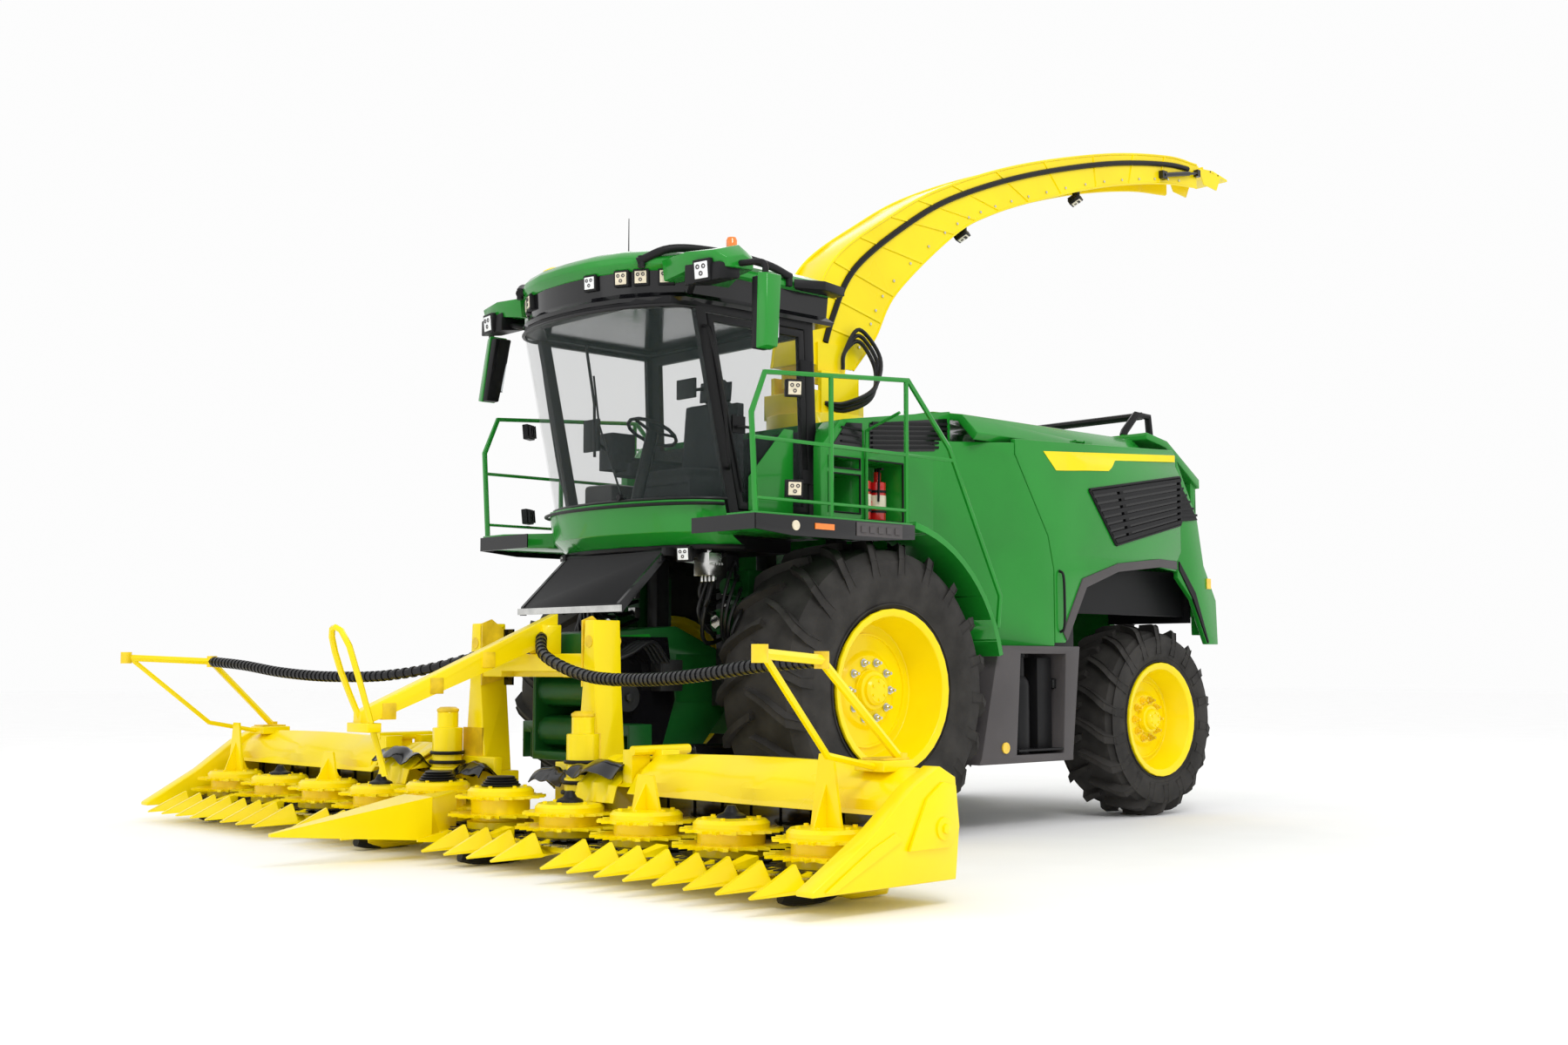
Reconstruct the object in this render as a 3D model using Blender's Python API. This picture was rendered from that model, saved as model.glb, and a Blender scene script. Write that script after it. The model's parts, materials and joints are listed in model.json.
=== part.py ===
"""Self-propelled forage harvester with a ten-row rotary header, in metres.

+Z is up, the machine drives towards -Y and its left side is +X. The shapes are drawn with y
counted from the front axle, and the empty "machine" moves them so that the origin lies on the
ground under the middle of the overall box.
"""
import math

import bmesh
import bpy
from mathutils import Matrix, Vector

# ---------------------------------------------------------------- driving dimensions
GAP = 0.0003                  # between two pieces that touch
RUN = 0.006                   # between a moving piece and what it passes

REACH_FRONT = 3.88            # front axle to the tip of the centre divider
REACH_REAR = 6.62             # front axle to the end of the spout flap
WHEELBASE = 3.29

FRONT_TYRE_R, FRONT_TYRE_W, FRONT_RIM_R, FRONT_WHEEL_X = 1.063, 0.80, 0.545, 1.20
REAR_TYRE_R, REAR_TYRE_W, REAR_RIM_R, REAR_WHEEL_X = 0.793, 0.58, 0.44, 1.26
KINGPIN_X = 0.86
ARCH_GAP = 0.11               # wheel arch outside the front tyre

RAIL_X, RAIL_W, RAIL_LOW, RAIL_HIGH = 0.34, 0.12, 0.95, 1.20
ENGINE_HALF_W = 0.60
RAIL_FRONT, RAIL_REAR = -0.62, 4.18

FEED_PIVOT_Y, FEED_PIVOT_Z = -0.30, 1.15
FEED_HALF_W, FEED_FRONT = 0.33, -1.72
COVER_HINGE_Y, COVER_HINGE_Z, COVER_HALF_W = -1.25, 2.03, 0.56
COVER_FOOT_Y, COVER_FOOT_Z = -1.65, 1.65
CYLINDER_X, CYLINDER_REAR, CYLINDER_FRONT = 0.56, (-0.22, 0.62), (-1.50, 0.66)

ROW_PITCH = 0.75
ROTOR_Y, ROTOR_R, ROTORS_A_SIDE = -2.46, 0.34, 5
WING_SPLIT = 2 * ROW_PITCH
HEADER_HALF = 5 * ROW_PITCH
PAN_FRONT, PAN_REAR, PAN_LOW, PAN_HIGH = -2.74, -1.95, 0.13, 0.17
SNOUT_TIP_Y, SNOUT_TIP_Z = -3.03, 0.14
WALL_HIGH = 0.60
FOLD_Z, FOLD_R = 0.72, 0.03       # hinge of the folding wings, along the top of the rear wall

CAB_X, CAB_WALL = 0.93, 0.05
CAB_BASE, CAB_FLOOR, CAB_SILL, CAB_TOP = 2.15, 2.20, 2.32, 3.74
CAB_FRONT_LOW, CAB_FRONT_HIGH = -0.95, -1.30
CAB_REAR_LOW, CAB_REAR_HIGH = -0.10, -0.16
PILLAR = 0.09
NOSE_TOP = 2.38
SCREEN_BULGE = 0.42           # windscreen middle in front of its corners
GLASS = 0.010
SCREEN_OFFSET = 0.005         # windscreen in front of the pillars
DOOR_HINGE_X, DOOR_HINGE_Y = 0.945, -0.19

DECK = 2.25                   # top of the walkways
DECK_X = 1.58
BODY_X = 1.50
HOOD_SIDE, HOOD_TOP = 3.00, 3.21
PANEL = 0.05
SEAM = [(1.93, 1.39), (1.93, 1.98), (1.86, 2.25), (1.46, 2.86), (1.46, 2.95)]  # front edge of the side panels
PANEL_REAR = 3.62
PANEL_HINGE, PANEL_KNUCKLES = (1.436, 3.04), (2.40, 3.02)
SPOUT_Y = 0.78                # turning axis of the spout
SPOUT_PIVOT_Y, SPOUT_PIVOT_Z = 0.74, 3.46
SPOUT_HALF_W = 0.19
SPOUT_RING_R, SPOUT_SHELF = 0.44, 2.98
FLAP_Y, FLAP_Z = 6.075, 6.315

AXLE_Y = (REACH_FRONT - REACH_REAR) / 2

# ---------------------------------------------------------------- scene, colours, helpers
for old in list(bpy.data.objects):
    bpy.data.objects.remove(old, do_unlink=True)

PARTS = bpy.data.collections.new("forage_harvester")
BLANKS = bpy.data.collections.new("blanks_and_cutters")
BLANKS.hide_render = True
bpy.context.scene.collection.children.link(PARTS)
bpy.context.scene.collection.children.link(BLANKS)


def paint(name, colour, roughness=0.4, metallic=0.0, alpha=1.0):
    material = bpy.data.materials.new(name)
    material.use_nodes = True
    shader = material.node_tree.nodes["Principled BSDF"]
    shader.inputs["Base Color"].default_value = (*colour, 1.0)
    shader.inputs["Roughness"].default_value = roughness
    shader.inputs["Metallic"].default_value = metallic
    shader.inputs["Alpha"].default_value = alpha
    return material


GREEN = paint("green_paint", (0.02, 0.27, 0.05), 0.25)
YELLOW = paint("yellow_paint", (1.0, 0.78, 0.0), 0.3)
BLACK = paint("black_plastic", (0.015, 0.015, 0.017), 0.45)
GREY = paint("grey_plastic", (0.11, 0.10, 0.11), 0.5)
STEEL = paint("dark_steel", (0.12, 0.12, 0.12), 0.4, 0.8)
TYRE = paint("tyre_rubber", (0.03, 0.03, 0.03), 0.8)
CLEAR = paint("cab_glass", (0.75, 0.88, 0.88), 0.05, 0.0, 0.3)
RED = paint("red_paint", (0.7, 0.02, 0.02), 0.3)
SEAT = paint("seat_fabric", (0.05, 0.05, 0.05), 0.9)

MACHINE = bpy.data.objects.new("machine", None)
MACHINE.location = (0, AXLE_Y, 0)
PARTS.objects.link(MACHINE)

STAND = {
    "X": Matrix(((0, 0, 1), (1, 0, 0), (0, 1, 0))).to_4x4(),
    "Y": Matrix(((1, 0, 0), (0, 0, -1), (0, 1, 0))).to_4x4(),
    "Z": Matrix.Identity(4),
}


def blank_of(bm):
    """A hidden closed solid, made from a bmesh, that a part is later joined or cut from."""
    bmesh.ops.remove_doubles(bm, verts=bm.verts, dist=0.00005)
    bmesh.ops.recalc_face_normals(bm, faces=bm.faces)
    mesh = bpy.data.meshes.new("blank")
    bm.to_mesh(mesh)
    bm.free()
    return mesh


def cuboid(low, high):
    bm = bmesh.new()
    size = Vector(high) - Vector(low)
    middle = (Vector(high) + Vector(low)) / 2
    bmesh.ops.create_cube(bm, size=1, matrix=Matrix.Translation(middle) @ Matrix.Diagonal((*size, 1)))
    return blank_of(bm)


def tapered(axis, start, end):
    """A box that changes section along an axis: each end is (place, (low, high), (low, high))."""
    bm = bmesh.new()
    bmesh.ops.create_cube(bm, size=2)
    along = "XYZ".index(axis)
    across = [i for i in range(3) if i != along]
    for vert in bm.verts:
        place, *spans = end if vert.co[along] > 0 else start
        signs = [vert.co[i] > 0 for i in across]
        vert.co[along] = place
        for i, span, sign in zip(across, spans, signs):
            vert.co[i] = span[sign]
    return blank_of(bm)


def cylinder(a, b, radius, sides=16, end_radius=None):
    a, b = Vector(a), Vector(b)
    turn = (b - a).to_track_quat("Z", "Y").to_matrix().to_4x4()
    bm = bmesh.new()
    bmesh.ops.create_cone(
        bm, cap_ends=True, segments=sides, radius1=radius,
        radius2=radius if end_radius is None else end_radius,
        depth=(b - a).length, matrix=Matrix.Translation((a + b) / 2) @ turn,
    )
    return blank_of(bm)


def from_curve(curve, matrix):
    """The mesh of a curve, welded, with its place applied."""
    holder = bpy.data.objects.new("curve", curve)
    BLANKS.objects.link(holder)
    bpy.context.view_layer.update()
    graph = bpy.context.evaluated_depsgraph_get()
    mesh = bpy.data.meshes.new_from_object(holder.evaluated_get(graph))
    bpy.data.objects.remove(holder)
    bm = bmesh.new()
    bm.from_mesh(mesh)
    bpy.data.meshes.remove(mesh)
    bmesh.ops.transform(bm, matrix=matrix, verts=bm.verts)
    return blank_of(bm)


def slab(axis, outline, low, high):
    """A flat outline of (y, z), (x, z) or (x, y) points, standing across X, Y or Z."""
    curve = bpy.data.curves.new("outline", "CURVE")
    curve.dimensions = "2D"
    curve.fill_mode = "BOTH"
    curve.extrude = (high - low) / 2
    spline = curve.splines.new("POLY")
    spline.points.add(len(outline) - 1)
    for point, (u, v) in zip(spline.points, outline):
        point.co = (u, v, 0, 1)
    spline.use_cyclic_u = True
    middle = Vector((0, 0, 0))
    middle["XYZ".index(axis)] = (low + high) / 2
    return from_curve(curve, Matrix.Translation(middle) @ STAND[axis])


def tube(points, radius, closed=False, resolution=1):
    curve = bpy.data.curves.new("tube", "CURVE")
    curve.dimensions = "3D"
    curve.bevel_depth = radius
    curve.bevel_resolution = resolution
    curve.use_fill_caps = True
    spline = curve.splines.new("POLY")
    spline.points.add(len(points) - 1)
    for point, co in zip(spline.points, points):
        point.co = (*co, 1)
    spline.use_cyclic_u = closed
    return from_curve(curve, Matrix.Identity(4))


def turned(profile, centre, axis, steps=32):
    """A closed profile of (radius, place along the axis) points, spun about an axis."""
    bm = bmesh.new()
    verts = [bm.verts.new((r, 0, h)) for r, h in profile]
    for i, vert in enumerate(verts):
        bm.edges.new((vert, verts[(i + 1) % len(verts)]))
    on_axis = [edge for edge in bm.edges if max(v.co.x for v in edge.verts) < 1e-6]
    bmesh.ops.delete(bm, geom=on_axis, context="EDGES")
    bmesh.ops.spin(
        bm, geom=bm.verts[:] + bm.edges[:], cent=(0, 0, 0), axis=(0, 0, 1),
        angle=math.tau, steps=steps, use_merge=True,
    )
    bmesh.ops.remove_doubles(bm, verts=bm.verts, dist=0.00005)
    turn = Vector(axis).to_track_quat("Z", "Y").to_matrix().to_4x4()
    bmesh.ops.transform(bm, matrix=Matrix.Translation(centre) @ turn, verts=bm.verts)
    return blank_of(bm)


def smooth(points, steps):
    """Points on a smooth curve through the given ones."""
    ends = [2 * Vector(points[0]) - Vector(points[1]), 2 * Vector(points[-1]) - Vector(points[-2])]
    knots = [ends[0], *map(Vector, points), ends[1]]
    path = []
    for a, b, c, d in zip(knots, knots[1:], knots[2:], knots[3:]):
        for i in range(steps):
            t = i / steps
            path.append(0.5 * (2 * b + (c - a) * t + (2 * a - 5 * b + 4 * c - d) * t ** 2
                               + (3 * b - a - 3 * c + d) * t ** 3))
    return [tuple(p) for p in path] + [tuple(points[-1])]


def sheet(rows, thickness):
    """A sheet through rows of points, each row as long as the next, with its thickness inwards."""
    bm = bmesh.new()
    grid = [[bm.verts.new(point) for point in row] for row in rows]
    for low, high in zip(grid, grid[1:]):
        for a, b, c, d in zip(low, low[1:], high[1:], high):
            bm.faces.new((a, b, c, d))
    bmesh.ops.recalc_face_normals(bm, faces=bm.faces)
    bmesh.ops.solidify(bm, geom=bm.faces[:], thickness=thickness)
    return blank_of(bm)


def flip(mesh):
    """The mirror image of a blank, on the other side of the machine."""
    bm = bmesh.new()
    bm.from_mesh(mesh)
    bmesh.ops.scale(bm, vec=(-1, 1, 1), verts=bm.verts)
    return blank_of(bm)


def helpers(name, meshes):
    """A collection of hidden solids."""
    group = bpy.data.collections.new(name)
    BLANKS.children.link(group)
    for i, mesh in enumerate(meshes):
        holder = bpy.data.objects.new(f"{name}_{i}", mesh)
        holder.hide_render = True
        holder.display_type = "WIRE"
        holder.parent = MACHINE
        group.objects.link(holder)
    return group


def part(name, material, blanks, cuts=(), added=(), pivot=(0, 0, 0)):
    """One piece of the machine: its blanks joined, less its cuts, then the added solids."""
    mesh = blanks[0]
    mesh.name = name
    mesh.transform(Matrix.Translation(-Vector(pivot)))
    mesh.materials.append(material)
    piece = bpy.data.objects.new(name, mesh)
    piece.location = pivot
    piece.parent = MACHINE
    PARTS.objects.link(piece)
    steps = (("joined", blanks[1:], "UNION"), ("cut", cuts, "DIFFERENCE"), ("added", added, "UNION"))
    for label, meshes, operation in steps:
        if not meshes:
            continue
        modifier = piece.modifiers.new(label, "BOOLEAN")
        modifier.operation = operation
        modifier.solver = "EXACT"
        modifier.operand_type = "COLLECTION"
        modifier.collection = helpers(f"{name}_{label}", meshes)
    return piece


def pair(name, material, blanks, cuts=(), added=(), pivot=(0, 0, 0)):
    """The left piece and its mirror image on the right."""
    mirrored = [[flip(mesh) for mesh in group] for group in (blanks, cuts, added)]
    part(f"{name}_left", material, blanks, cuts, added, pivot)
    part(f"{name}_right", material, *mirrored, (-pivot[0], pivot[1], pivot[2]))


# ---------------------------------------------------------------- wheels and axles
def tyre_profile(radius, width, rim_radius):
    half = width / 2
    bead = 0.42 * width
    wall = radius - rim_radius
    side = [
        (rim_radius + GAP, bead), (rim_radius + 0.12 * wall, bead + 0.01),
        (rim_radius + 0.50 * wall, half), (radius - 0.035, half - 0.03), (radius, half - 0.09),
    ]
    return side + [(r, -h) for r, h in reversed(side)]


def rim_profile(rim_radius, width, hub_radius, disc, hub_face):
    """Half-section of a wheel, from its outer hub face round the barrel to its inner one."""
    bead = 0.42 * width
    lip = rim_radius + 0.03
    well = rim_radius - 0.07
    return [
        (0, hub_face), (hub_radius * 0.55, hub_face), (hub_radius * 0.6, disc + 0.03),
        (hub_radius, disc + 0.03), (hub_radius + 0.03, disc), (well, disc - 0.02),
        (rim_radius - 0.025, bead + 0.03), (lip, bead + 0.045), (lip, bead + 0.014),
        (rim_radius, bead + 0.004), (rim_radius, -bead - 0.004), (lip, -bead - 0.014),
        (lip, -bead - 0.04), (rim_radius - 0.025, -bead - 0.03), (well, disc - 0.06),
        (hub_radius, disc - 0.05), (0, disc - 0.05),
    ]


def wheels():
    for end, y, radius, width, rim_r, x, hub_r, disc in (
        ("front", 0, FRONT_TYRE_R, FRONT_TYRE_W, FRONT_RIM_R, FRONT_WHEEL_X, 0.25, FRONT_DISC),
        ("rear", WHEELBASE, REAR_TYRE_R, REAR_TYRE_W, REAR_RIM_R, REAR_WHEEL_X, 0.20, REAR_DISC),
    ):
        for side, sign in (("left", 1), ("right", -1)):
            centre = (sign * x, y, radius)
            out = (sign, 0, 0)
            tyre = turned(tyre_profile(radius, width, rim_r), centre, out)
            rim = turned(rim_profile(rim_r, width, hub_r, disc, disc + 0.09), centre, out)
            part(f"{end}_{side}_tyre", TYRE, [tyre], pivot=centre)
            part(f"{end}_{side}_rim", YELLOW, [rim], pivot=centre)


FRONT_DISC, REAR_DISC = 0.10, 0.09
FRONT_HUB_IN = FRONT_WHEEL_X + FRONT_DISC - 0.05 - GAP
REAR_HUB_IN = REAR_WHEEL_X + REAR_DISC - 0.05 - GAP
EYE_HALF = 0.03                # half the width of a lift cylinder's eye
AXLE_DROP_LOW, AXLE_DROP_HIGH = 0.72, RAIL_LOW - GAP


def front_axle():
    z = FRONT_TYRE_R
    inner = RAIL_X + RAIL_W + GAP
    blanks = [cuboid((-0.78, -0.13, AXLE_DROP_LOW), (0.78, 0.13, AXLE_DROP_HIGH))]
    for sign in (1, -1):
        blanks.append(cylinder((sign * inner, 0, z), (sign * 0.74, 0, z), 0.23, 20))
        blanks.append(cylinder((sign * 0.70, 0, z), (sign * FRONT_HUB_IN, 0, z), 0.17, 20))
        for side in (1, -1):
            x = sign * CYLINDER_X + side * (EYE_HALF + 0.0005 + 0.0125)
            blanks.append(cuboid((x - 0.0125, -0.265, 0.55), (x + 0.0125, -0.10, 0.80)))
    part("front_axle", GREEN, blanks)


def rear_axle():
    z, y = REAR_TYRE_R, WHEELBASE
    pin_low, pin_high = z - 0.13, z + 0.13
    blanks = [cuboid((-0.80, y - 0.09, z - 0.09), (0.80, y + 0.09, z + 0.10)),
              cuboid((-0.12, y - 0.16, z - 0.10), (0.12, y + 0.16, z + 0.12))]
    for sign in (1, -1):
        blanks.append(cylinder((sign * KINGPIN_X, y, pin_low), (sign * KINGPIN_X, y, pin_high), 0.09))
    part("rear_axle", GREEN, blanks)
    knuckle = [
        cuboid((KINGPIN_X + 0.10, y - 0.09, z - 0.22), (KINGPIN_X + 0.16, y + 0.09, z + 0.22)),
        cuboid((KINGPIN_X - 0.07, y - 0.09, pin_high + 0.0005), (KINGPIN_X + 0.16, y + 0.09, z + 0.22)),
        cuboid((KINGPIN_X - 0.07, y - 0.09, z - 0.22), (KINGPIN_X + 0.16, y + 0.09, pin_low - 0.0005)),
        cuboid((KINGPIN_X - 0.05, y - 0.26, z - 0.22), (KINGPIN_X + 0.03, y - 0.02, z - 0.17)),
        cylinder((KINGPIN_X + 0.14, y, z), (REAR_HUB_IN, y, z), 0.12),
    ]
    pair("knuckle", STEEL, knuckle, pivot=(KINGPIN_X, y, z))


# ---------------------------------------------------------------- frame and engine
def chassis():
    blanks = []
    for sign in (1, -1):
        inner, outer = sorted((sign * RAIL_X, sign * (RAIL_X + RAIL_W)))
        blanks.append(cuboid((inner, RAIL_FRONT, RAIL_LOW), (outer, RAIL_REAR, RAIL_HIGH)))
        blanks.append(cuboid((inner, FEED_PIVOT_Y - 0.10, RAIL_HIGH - 0.02),
                             (outer, FEED_PIVOT_Y - 0.055, RAIL_HIGH + 0.10)))
        for y in (-0.58, 0.55):
            top = CAB_BELLY if y < 0 else DECK + 0.01
            blanks.append(cuboid((inner, y, RAIL_HIGH - 0.02), (outer, y + 0.12, top - GAP)))
        for y in (BRACKET_FRONT, BRACKET_REAR):
            reach = sorted((sign * (RAIL_X + 0.04), sign * 1.40))
            blanks.append(cuboid((reach[0], y, 1.06), (reach[1], y + 0.07, 1.13)))
    low, high = RAIL_LOW + 0.03, RAIL_HIGH - 0.03
    for y in (0.35, 1.35, 2.30, RAIL_REAR - 0.15):
        blanks.append(cuboid((-RAIL_X - 0.02, y, low), (RAIL_X + 0.02, y + 0.14, high)))
    for y in (WHEELBASE - 0.16 - GAP - 0.08, WHEELBASE + 0.16 + GAP):
        blanks.append(cuboid((-RAIL_X - 0.02, y, REAR_TYRE_R - 0.05), (RAIL_X + 0.02, y + 0.08, high)))
    blanks.append(cuboid((-0.42, RAIL_REAR - 0.02, 0.62), (0.42, RAIL_REAR + 0.10, RAIL_HIGH)))
    for z in (0.66, 0.84):
        blanks.append(cuboid((-0.12, RAIL_REAR + 0.08, z), (0.12, RAIL_REAR + 0.42, z + 0.06)))
    part("chassis_frame", STEEL, blanks)
    bottom = RAIL_HIGH + GAP
    part("engine_block", STEEL, [cuboid((-ENGINE_HALF_W, 2.25, bottom), (ENGINE_HALF_W, 3.35, 2.35))])


CAB_BELLY = 2.05
BRACKET_FRONT, BRACKET_REAR = 1.28, 2.02
LOWER_TOP = 1.39              # where the lower side boxes meet the body


def lower_boxes():
    outline = [(1.24, LOWER_TOP - GAP), (2.24, LOWER_TOP - GAP), (2.14, 0.55), (2.14, 0.50), (1.00, 0.50), (1.03, 0.55)]
    box = slab("X", outline, 0.80, BODY_X)
    recess = slab("X", [(1.50, 1.33), (2.06, 1.33), (2.02, 0.56), (1.44, 0.56)], 1.12, BODY_X + 0.1)
    brackets = [cuboid((0.6, y - 0.002, 1.058), (1.402, y + 0.072, 1.132)) for y in (BRACKET_FRONT, BRACKET_REAR)]
    bottle = cylinder((1.33, 1.66, 0.53), (1.33, 1.66, 1.12), 0.085, 14)
    neck = cylinder((1.33, 1.66, 1.10), (1.33, 1.66, 1.35), 0.05, 14)
    pair("lower_box", GREY, [box], [recess, *brackets], [bottle, neck])


# ---------------------------------------------------------------- body panels
FLARE_FRONT = 0.90
FLARE = [(1.15, 0.90), (1.19, 1.08), (1.30, 1.42), (1.43, 1.72), (BODY_X, 1.93)]


def service_bodies():
    arch = cylinder((0.5, 0, FRONT_TYRE_R), (2.0, 0, FRONT_TYRE_R), FRONT_TYRE_R + ARCH_GAP, 40)
    foot = DECK + GAP
    block = slab("X", [(-0.06, foot), (-0.06, 3.02), (1.10, 3.19), (1.10, foot)], GAP, 1.15)
    hollow = cuboid((-0.1, 0.74, foot - 0.2), (1.10, 1.20, SPOUT_SHELF - 0.08))
    under = cuboid((-0.1, 0.00, foot - 0.2), (0.62, 0.80, SPOUT_SHELF - 0.08))
    front = slab("X", [(-0.30, foot), (-0.30, 2.80), (-0.10, 3.01), (-0.04, 3.02), (-0.04, foot)],
                 CAB_X + 0.03, 1.15)
    ring = cylinder((0, SPOUT_Y, SPOUT_SHELF - GAP), (0, SPOUT_Y, 3.5), SPOUT_RING_R + 0.02, 32)
    bore = cylinder((0, SPOUT_Y, 2.5), (0, SPOUT_Y, 3.3), 0.31, 24)
    # the corner beside the cab is cut back, so the open door swings past it
    door_swing = slab("Z", [(0.94, -0.32), (1.09, -0.32), (0.94, -0.141)], DECK - 0.1, 3.1)
    rows = []
    for seam_y, z in SEAM:
        share = (seam_y - FLARE_FRONT) / (FLARE[-1][1] - FLARE_FRONT)
        rows.append([(x, FLARE_FRONT + (y - FLARE_FRONT) * share, z - (GAP if z > 2.9 else 0)) for x, y in FLARE])
    flare = sheet(rows, PANEL)
    seam = slab("X", [*[(y - 1.3 * RUN, z) for y, z in SEAM], (2.5, SEAM[-1][1]), (2.5, SEAM[0][1])], 1.3, 1.6)
    fender = slab("X", arc_band(FRONT_TYRE_R + ARCH_GAP, 0.05, 12, 79), 1.10, DECK_X)
    niche = cuboid((0.85, -0.22, 2.34), (1.2, 0.10, 2.62))
    niche_high = cuboid((0.85, -0.22, 2.66), (1.2, 0.10, 2.74))
    bottles = cuboid((0.85, 0.16, 2.30), (1.2, 0.56, 2.74))
    pair("service_body", GREEN, [block, front, flare, fender],
         [hollow, under, ring, bore, door_swing, niche, niche_high, bottles, arch, seam])
    tanks = [cylinder((1.02, y, 2.30 + GAP), (1.02, y, 2.60), 0.065, 12) for y in (0.26, 0.42)]
    tanks += [cylinder((1.02, y, 2.58), (1.02, y, 2.68), 0.03, 8) for y in (0.26, 0.42)]
    tanks.append(cuboid((0.97, 0.26, 2.40), (1.03, 0.42, 2.46)))
    part("fire_extinguishers", RED, tanks)


def arc_band(radius, thickness, start, end, steps=12):
    """The (y, z) outline of a band round the front wheel, from one angle to another behind it."""
    angles = [math.radians(start + (end - start) * i / steps) for i in range(steps + 1)]
    inner = [(radius * math.cos(a), FRONT_TYRE_R + radius * math.sin(a)) for a in angles]
    outer = [((radius + thickness) * math.cos(a), FRONT_TYRE_R + (radius + thickness) * math.sin(a))
             for a in reversed(angles)]
    return inner + outer


ARCH_OUTLINE = [(2.06, 1.415), (2.32, 1.86), (2.75, 2.00), (3.35, 2.06)]


def side_panels():
    outline = [(SEAM[0][0], 1.415), *SEAM[1:4], (1.46, 2.98), (3.575, 3.07), (PANEL_REAR, 3.02), (PANEL_REAR, 2.03),
               *reversed(ARCH_OUTLINE)]
    panel = slab("X", outline, BODY_X - PANEL + 0.001, BODY_X)
    waist = tapered("X", (BODY_X - 0.01, (2.05, PANEL_REAR), (2.10, 2.95)),
                    (BODY_X + 0.04, (2.30, PANEL_REAR), (2.20, 2.85)))
    x, z = PANEL_HINGE
    hinges = [cylinder((x, y, z), (x, y + 0.10 - GAP, z), 0.014, 8) for y in PANEL_KNUCKLES]
    hinges += [cuboid((x, y, z - 0.04), (x + 0.02, y + 0.10 - GAP, z + 0.01)) for y in PANEL_KNUCKLES]
    pair("side_panel", GREEN, [panel, waist, *hinges], pivot=(x, 2.5, z))


def hood_section(top, side, half):
    shape = [(half, side), (half - 0.16, top - 0.05), (half - 0.45, top)]
    outline = shape + [(-x, z) for x, z in reversed(shape)]
    inner = [(x * (half - 0.05) / half, z - 0.05) for x, z in outline]
    return outline + list(reversed(inner))


def hood():
    half = BODY_X - PANEL - 0.02
    cover = slab("Y", hood_section(HOOD_TOP, HOOD_SIDE, half), 1.10 + GAP, PANEL_REAR - 0.30)
    ring = cylinder((0, SPOUT_Y, 2.5), (0, SPOUT_Y, 3.5), SPOUT_RING_R + 0.02, 32)
    blanks = [cover]
    for sign in (1, -1):
        x = sorted((sign * 0.62, sign * 0.70))
        for y in (2.28, 3.22):
            blanks.append(cuboid((x[0], y, 2.35 + GAP), (x[1], y + 0.10, 3.18)))
        x, z = PANEL_HINGE
        reach = sorted((sign * (x - 0.08), sign * (x + 0.005)))
        for y in (PANEL_KNUCKLES[0] - 0.10, PANEL_KNUCKLES[1] + 0.10):
            blanks.append(cylinder((sign * x, y, z), (sign * x, y + 0.10, z), 0.014, 8))
            blanks.append(cuboid((reach[0], y, z - 0.02), (reach[1], y + 0.10, z + 0.01)))
    part("engine_hood", GREEN, blanks, [ring])


def rear_body():
    half = BODY_X
    foot = RAIL_HIGH + GAP
    shape = [(0.50, foot), (0.50, 1.66), (half - 0.12, 1.66), (half - 0.12, 2.90), (half - 0.30, 3.02)]
    wall = slab("Y", shape + [(-x, z) for x, z in reversed(shape)], 4.02, 4.10)
    blanks = [wall]
    corner = [(PANEL_REAR + RUN, 1.98), (PANEL_REAR + RUN, 3.00), (3.93, 2.50), (4.02, 2.10), (4.20, 1.80),
              (4.22, 1.42), (4.05, 1.42), (3.84, 1.80)]
    for sign in (1, -1):
        low, high = sorted((sign * (half - PANEL), sign * half))
        blanks.append(slab("X", corner, low, high))
        low, high = sorted((sign * (half - 0.16), sign * (half - 0.01)))
        blanks.append(slab("X", [(4.03, 2.09), (4.15, 1.86), (4.17, 1.50), (4.05, 1.50)], low, high))
    roof = slab("X", [(PANEL_REAR - 0.30 + GAP, 3.15), (PANEL_REAR - 0.30 + GAP, HOOD_TOP), (3.62, 3.16), (4.10, 2.86),
                      (4.10, 2.78), (3.60, 3.10)], -half + 0.08, half - 0.08)
    blanks.append(roof)
    for sign in (1, -1):
        x = sign * 1.1
        blanks.append(tube([(x, 3.40, 3.15), (x, 3.45, 3.26), (x, 3.62, 3.42), (x, 3.80, 3.42), (x, 3.86, 2.96)], 0.028))
    blanks.append(tube([(-1.1, 3.71, 3.42), (1.1, 3.71, 3.42)], 0.028))
    part("rear_body", GREEN, blanks)


# ---------------------------------------------------------------- cab
def lean(z, foot, head):
    """Where a leaning edge of the cab is at a height."""
    return foot + (head - foot) * (z - CAB_FLOOR) / (CAB_TOP - CAB_FLOOR)


def front_y(z):
    return lean(z, CAB_FRONT_LOW, CAB_FRONT_HIGH)


def rear_y(z):
    return lean(z, CAB_REAR_LOW, CAB_REAR_HIGH)


def cab_outline(margin, low, high):
    """A side of the cab between two heights, a margin inside its front and rear edges."""
    return [(front_y(low) + margin, low), (rear_y(low) - margin, low), (rear_y(high) - margin, high),
            (front_y(high) + margin, high)]


def bow(y_corner, z, half=CAB_X, steps=8):
    """The curved front of the cab at a height, from the left corner to the right one."""
    angles = [math.pi * i / steps for i in range(steps + 1)]
    return [(half * math.cos(a), y_corner - SCREEN_BULGE * math.sin(a), z) for a in angles]


def bow_plan(y_corner, y_rear, half=CAB_X):
    return [(half, y_rear), *[(x, y) for x, y, _ in bow(y_corner, 0, half)], (-half, y_rear)]


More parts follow.
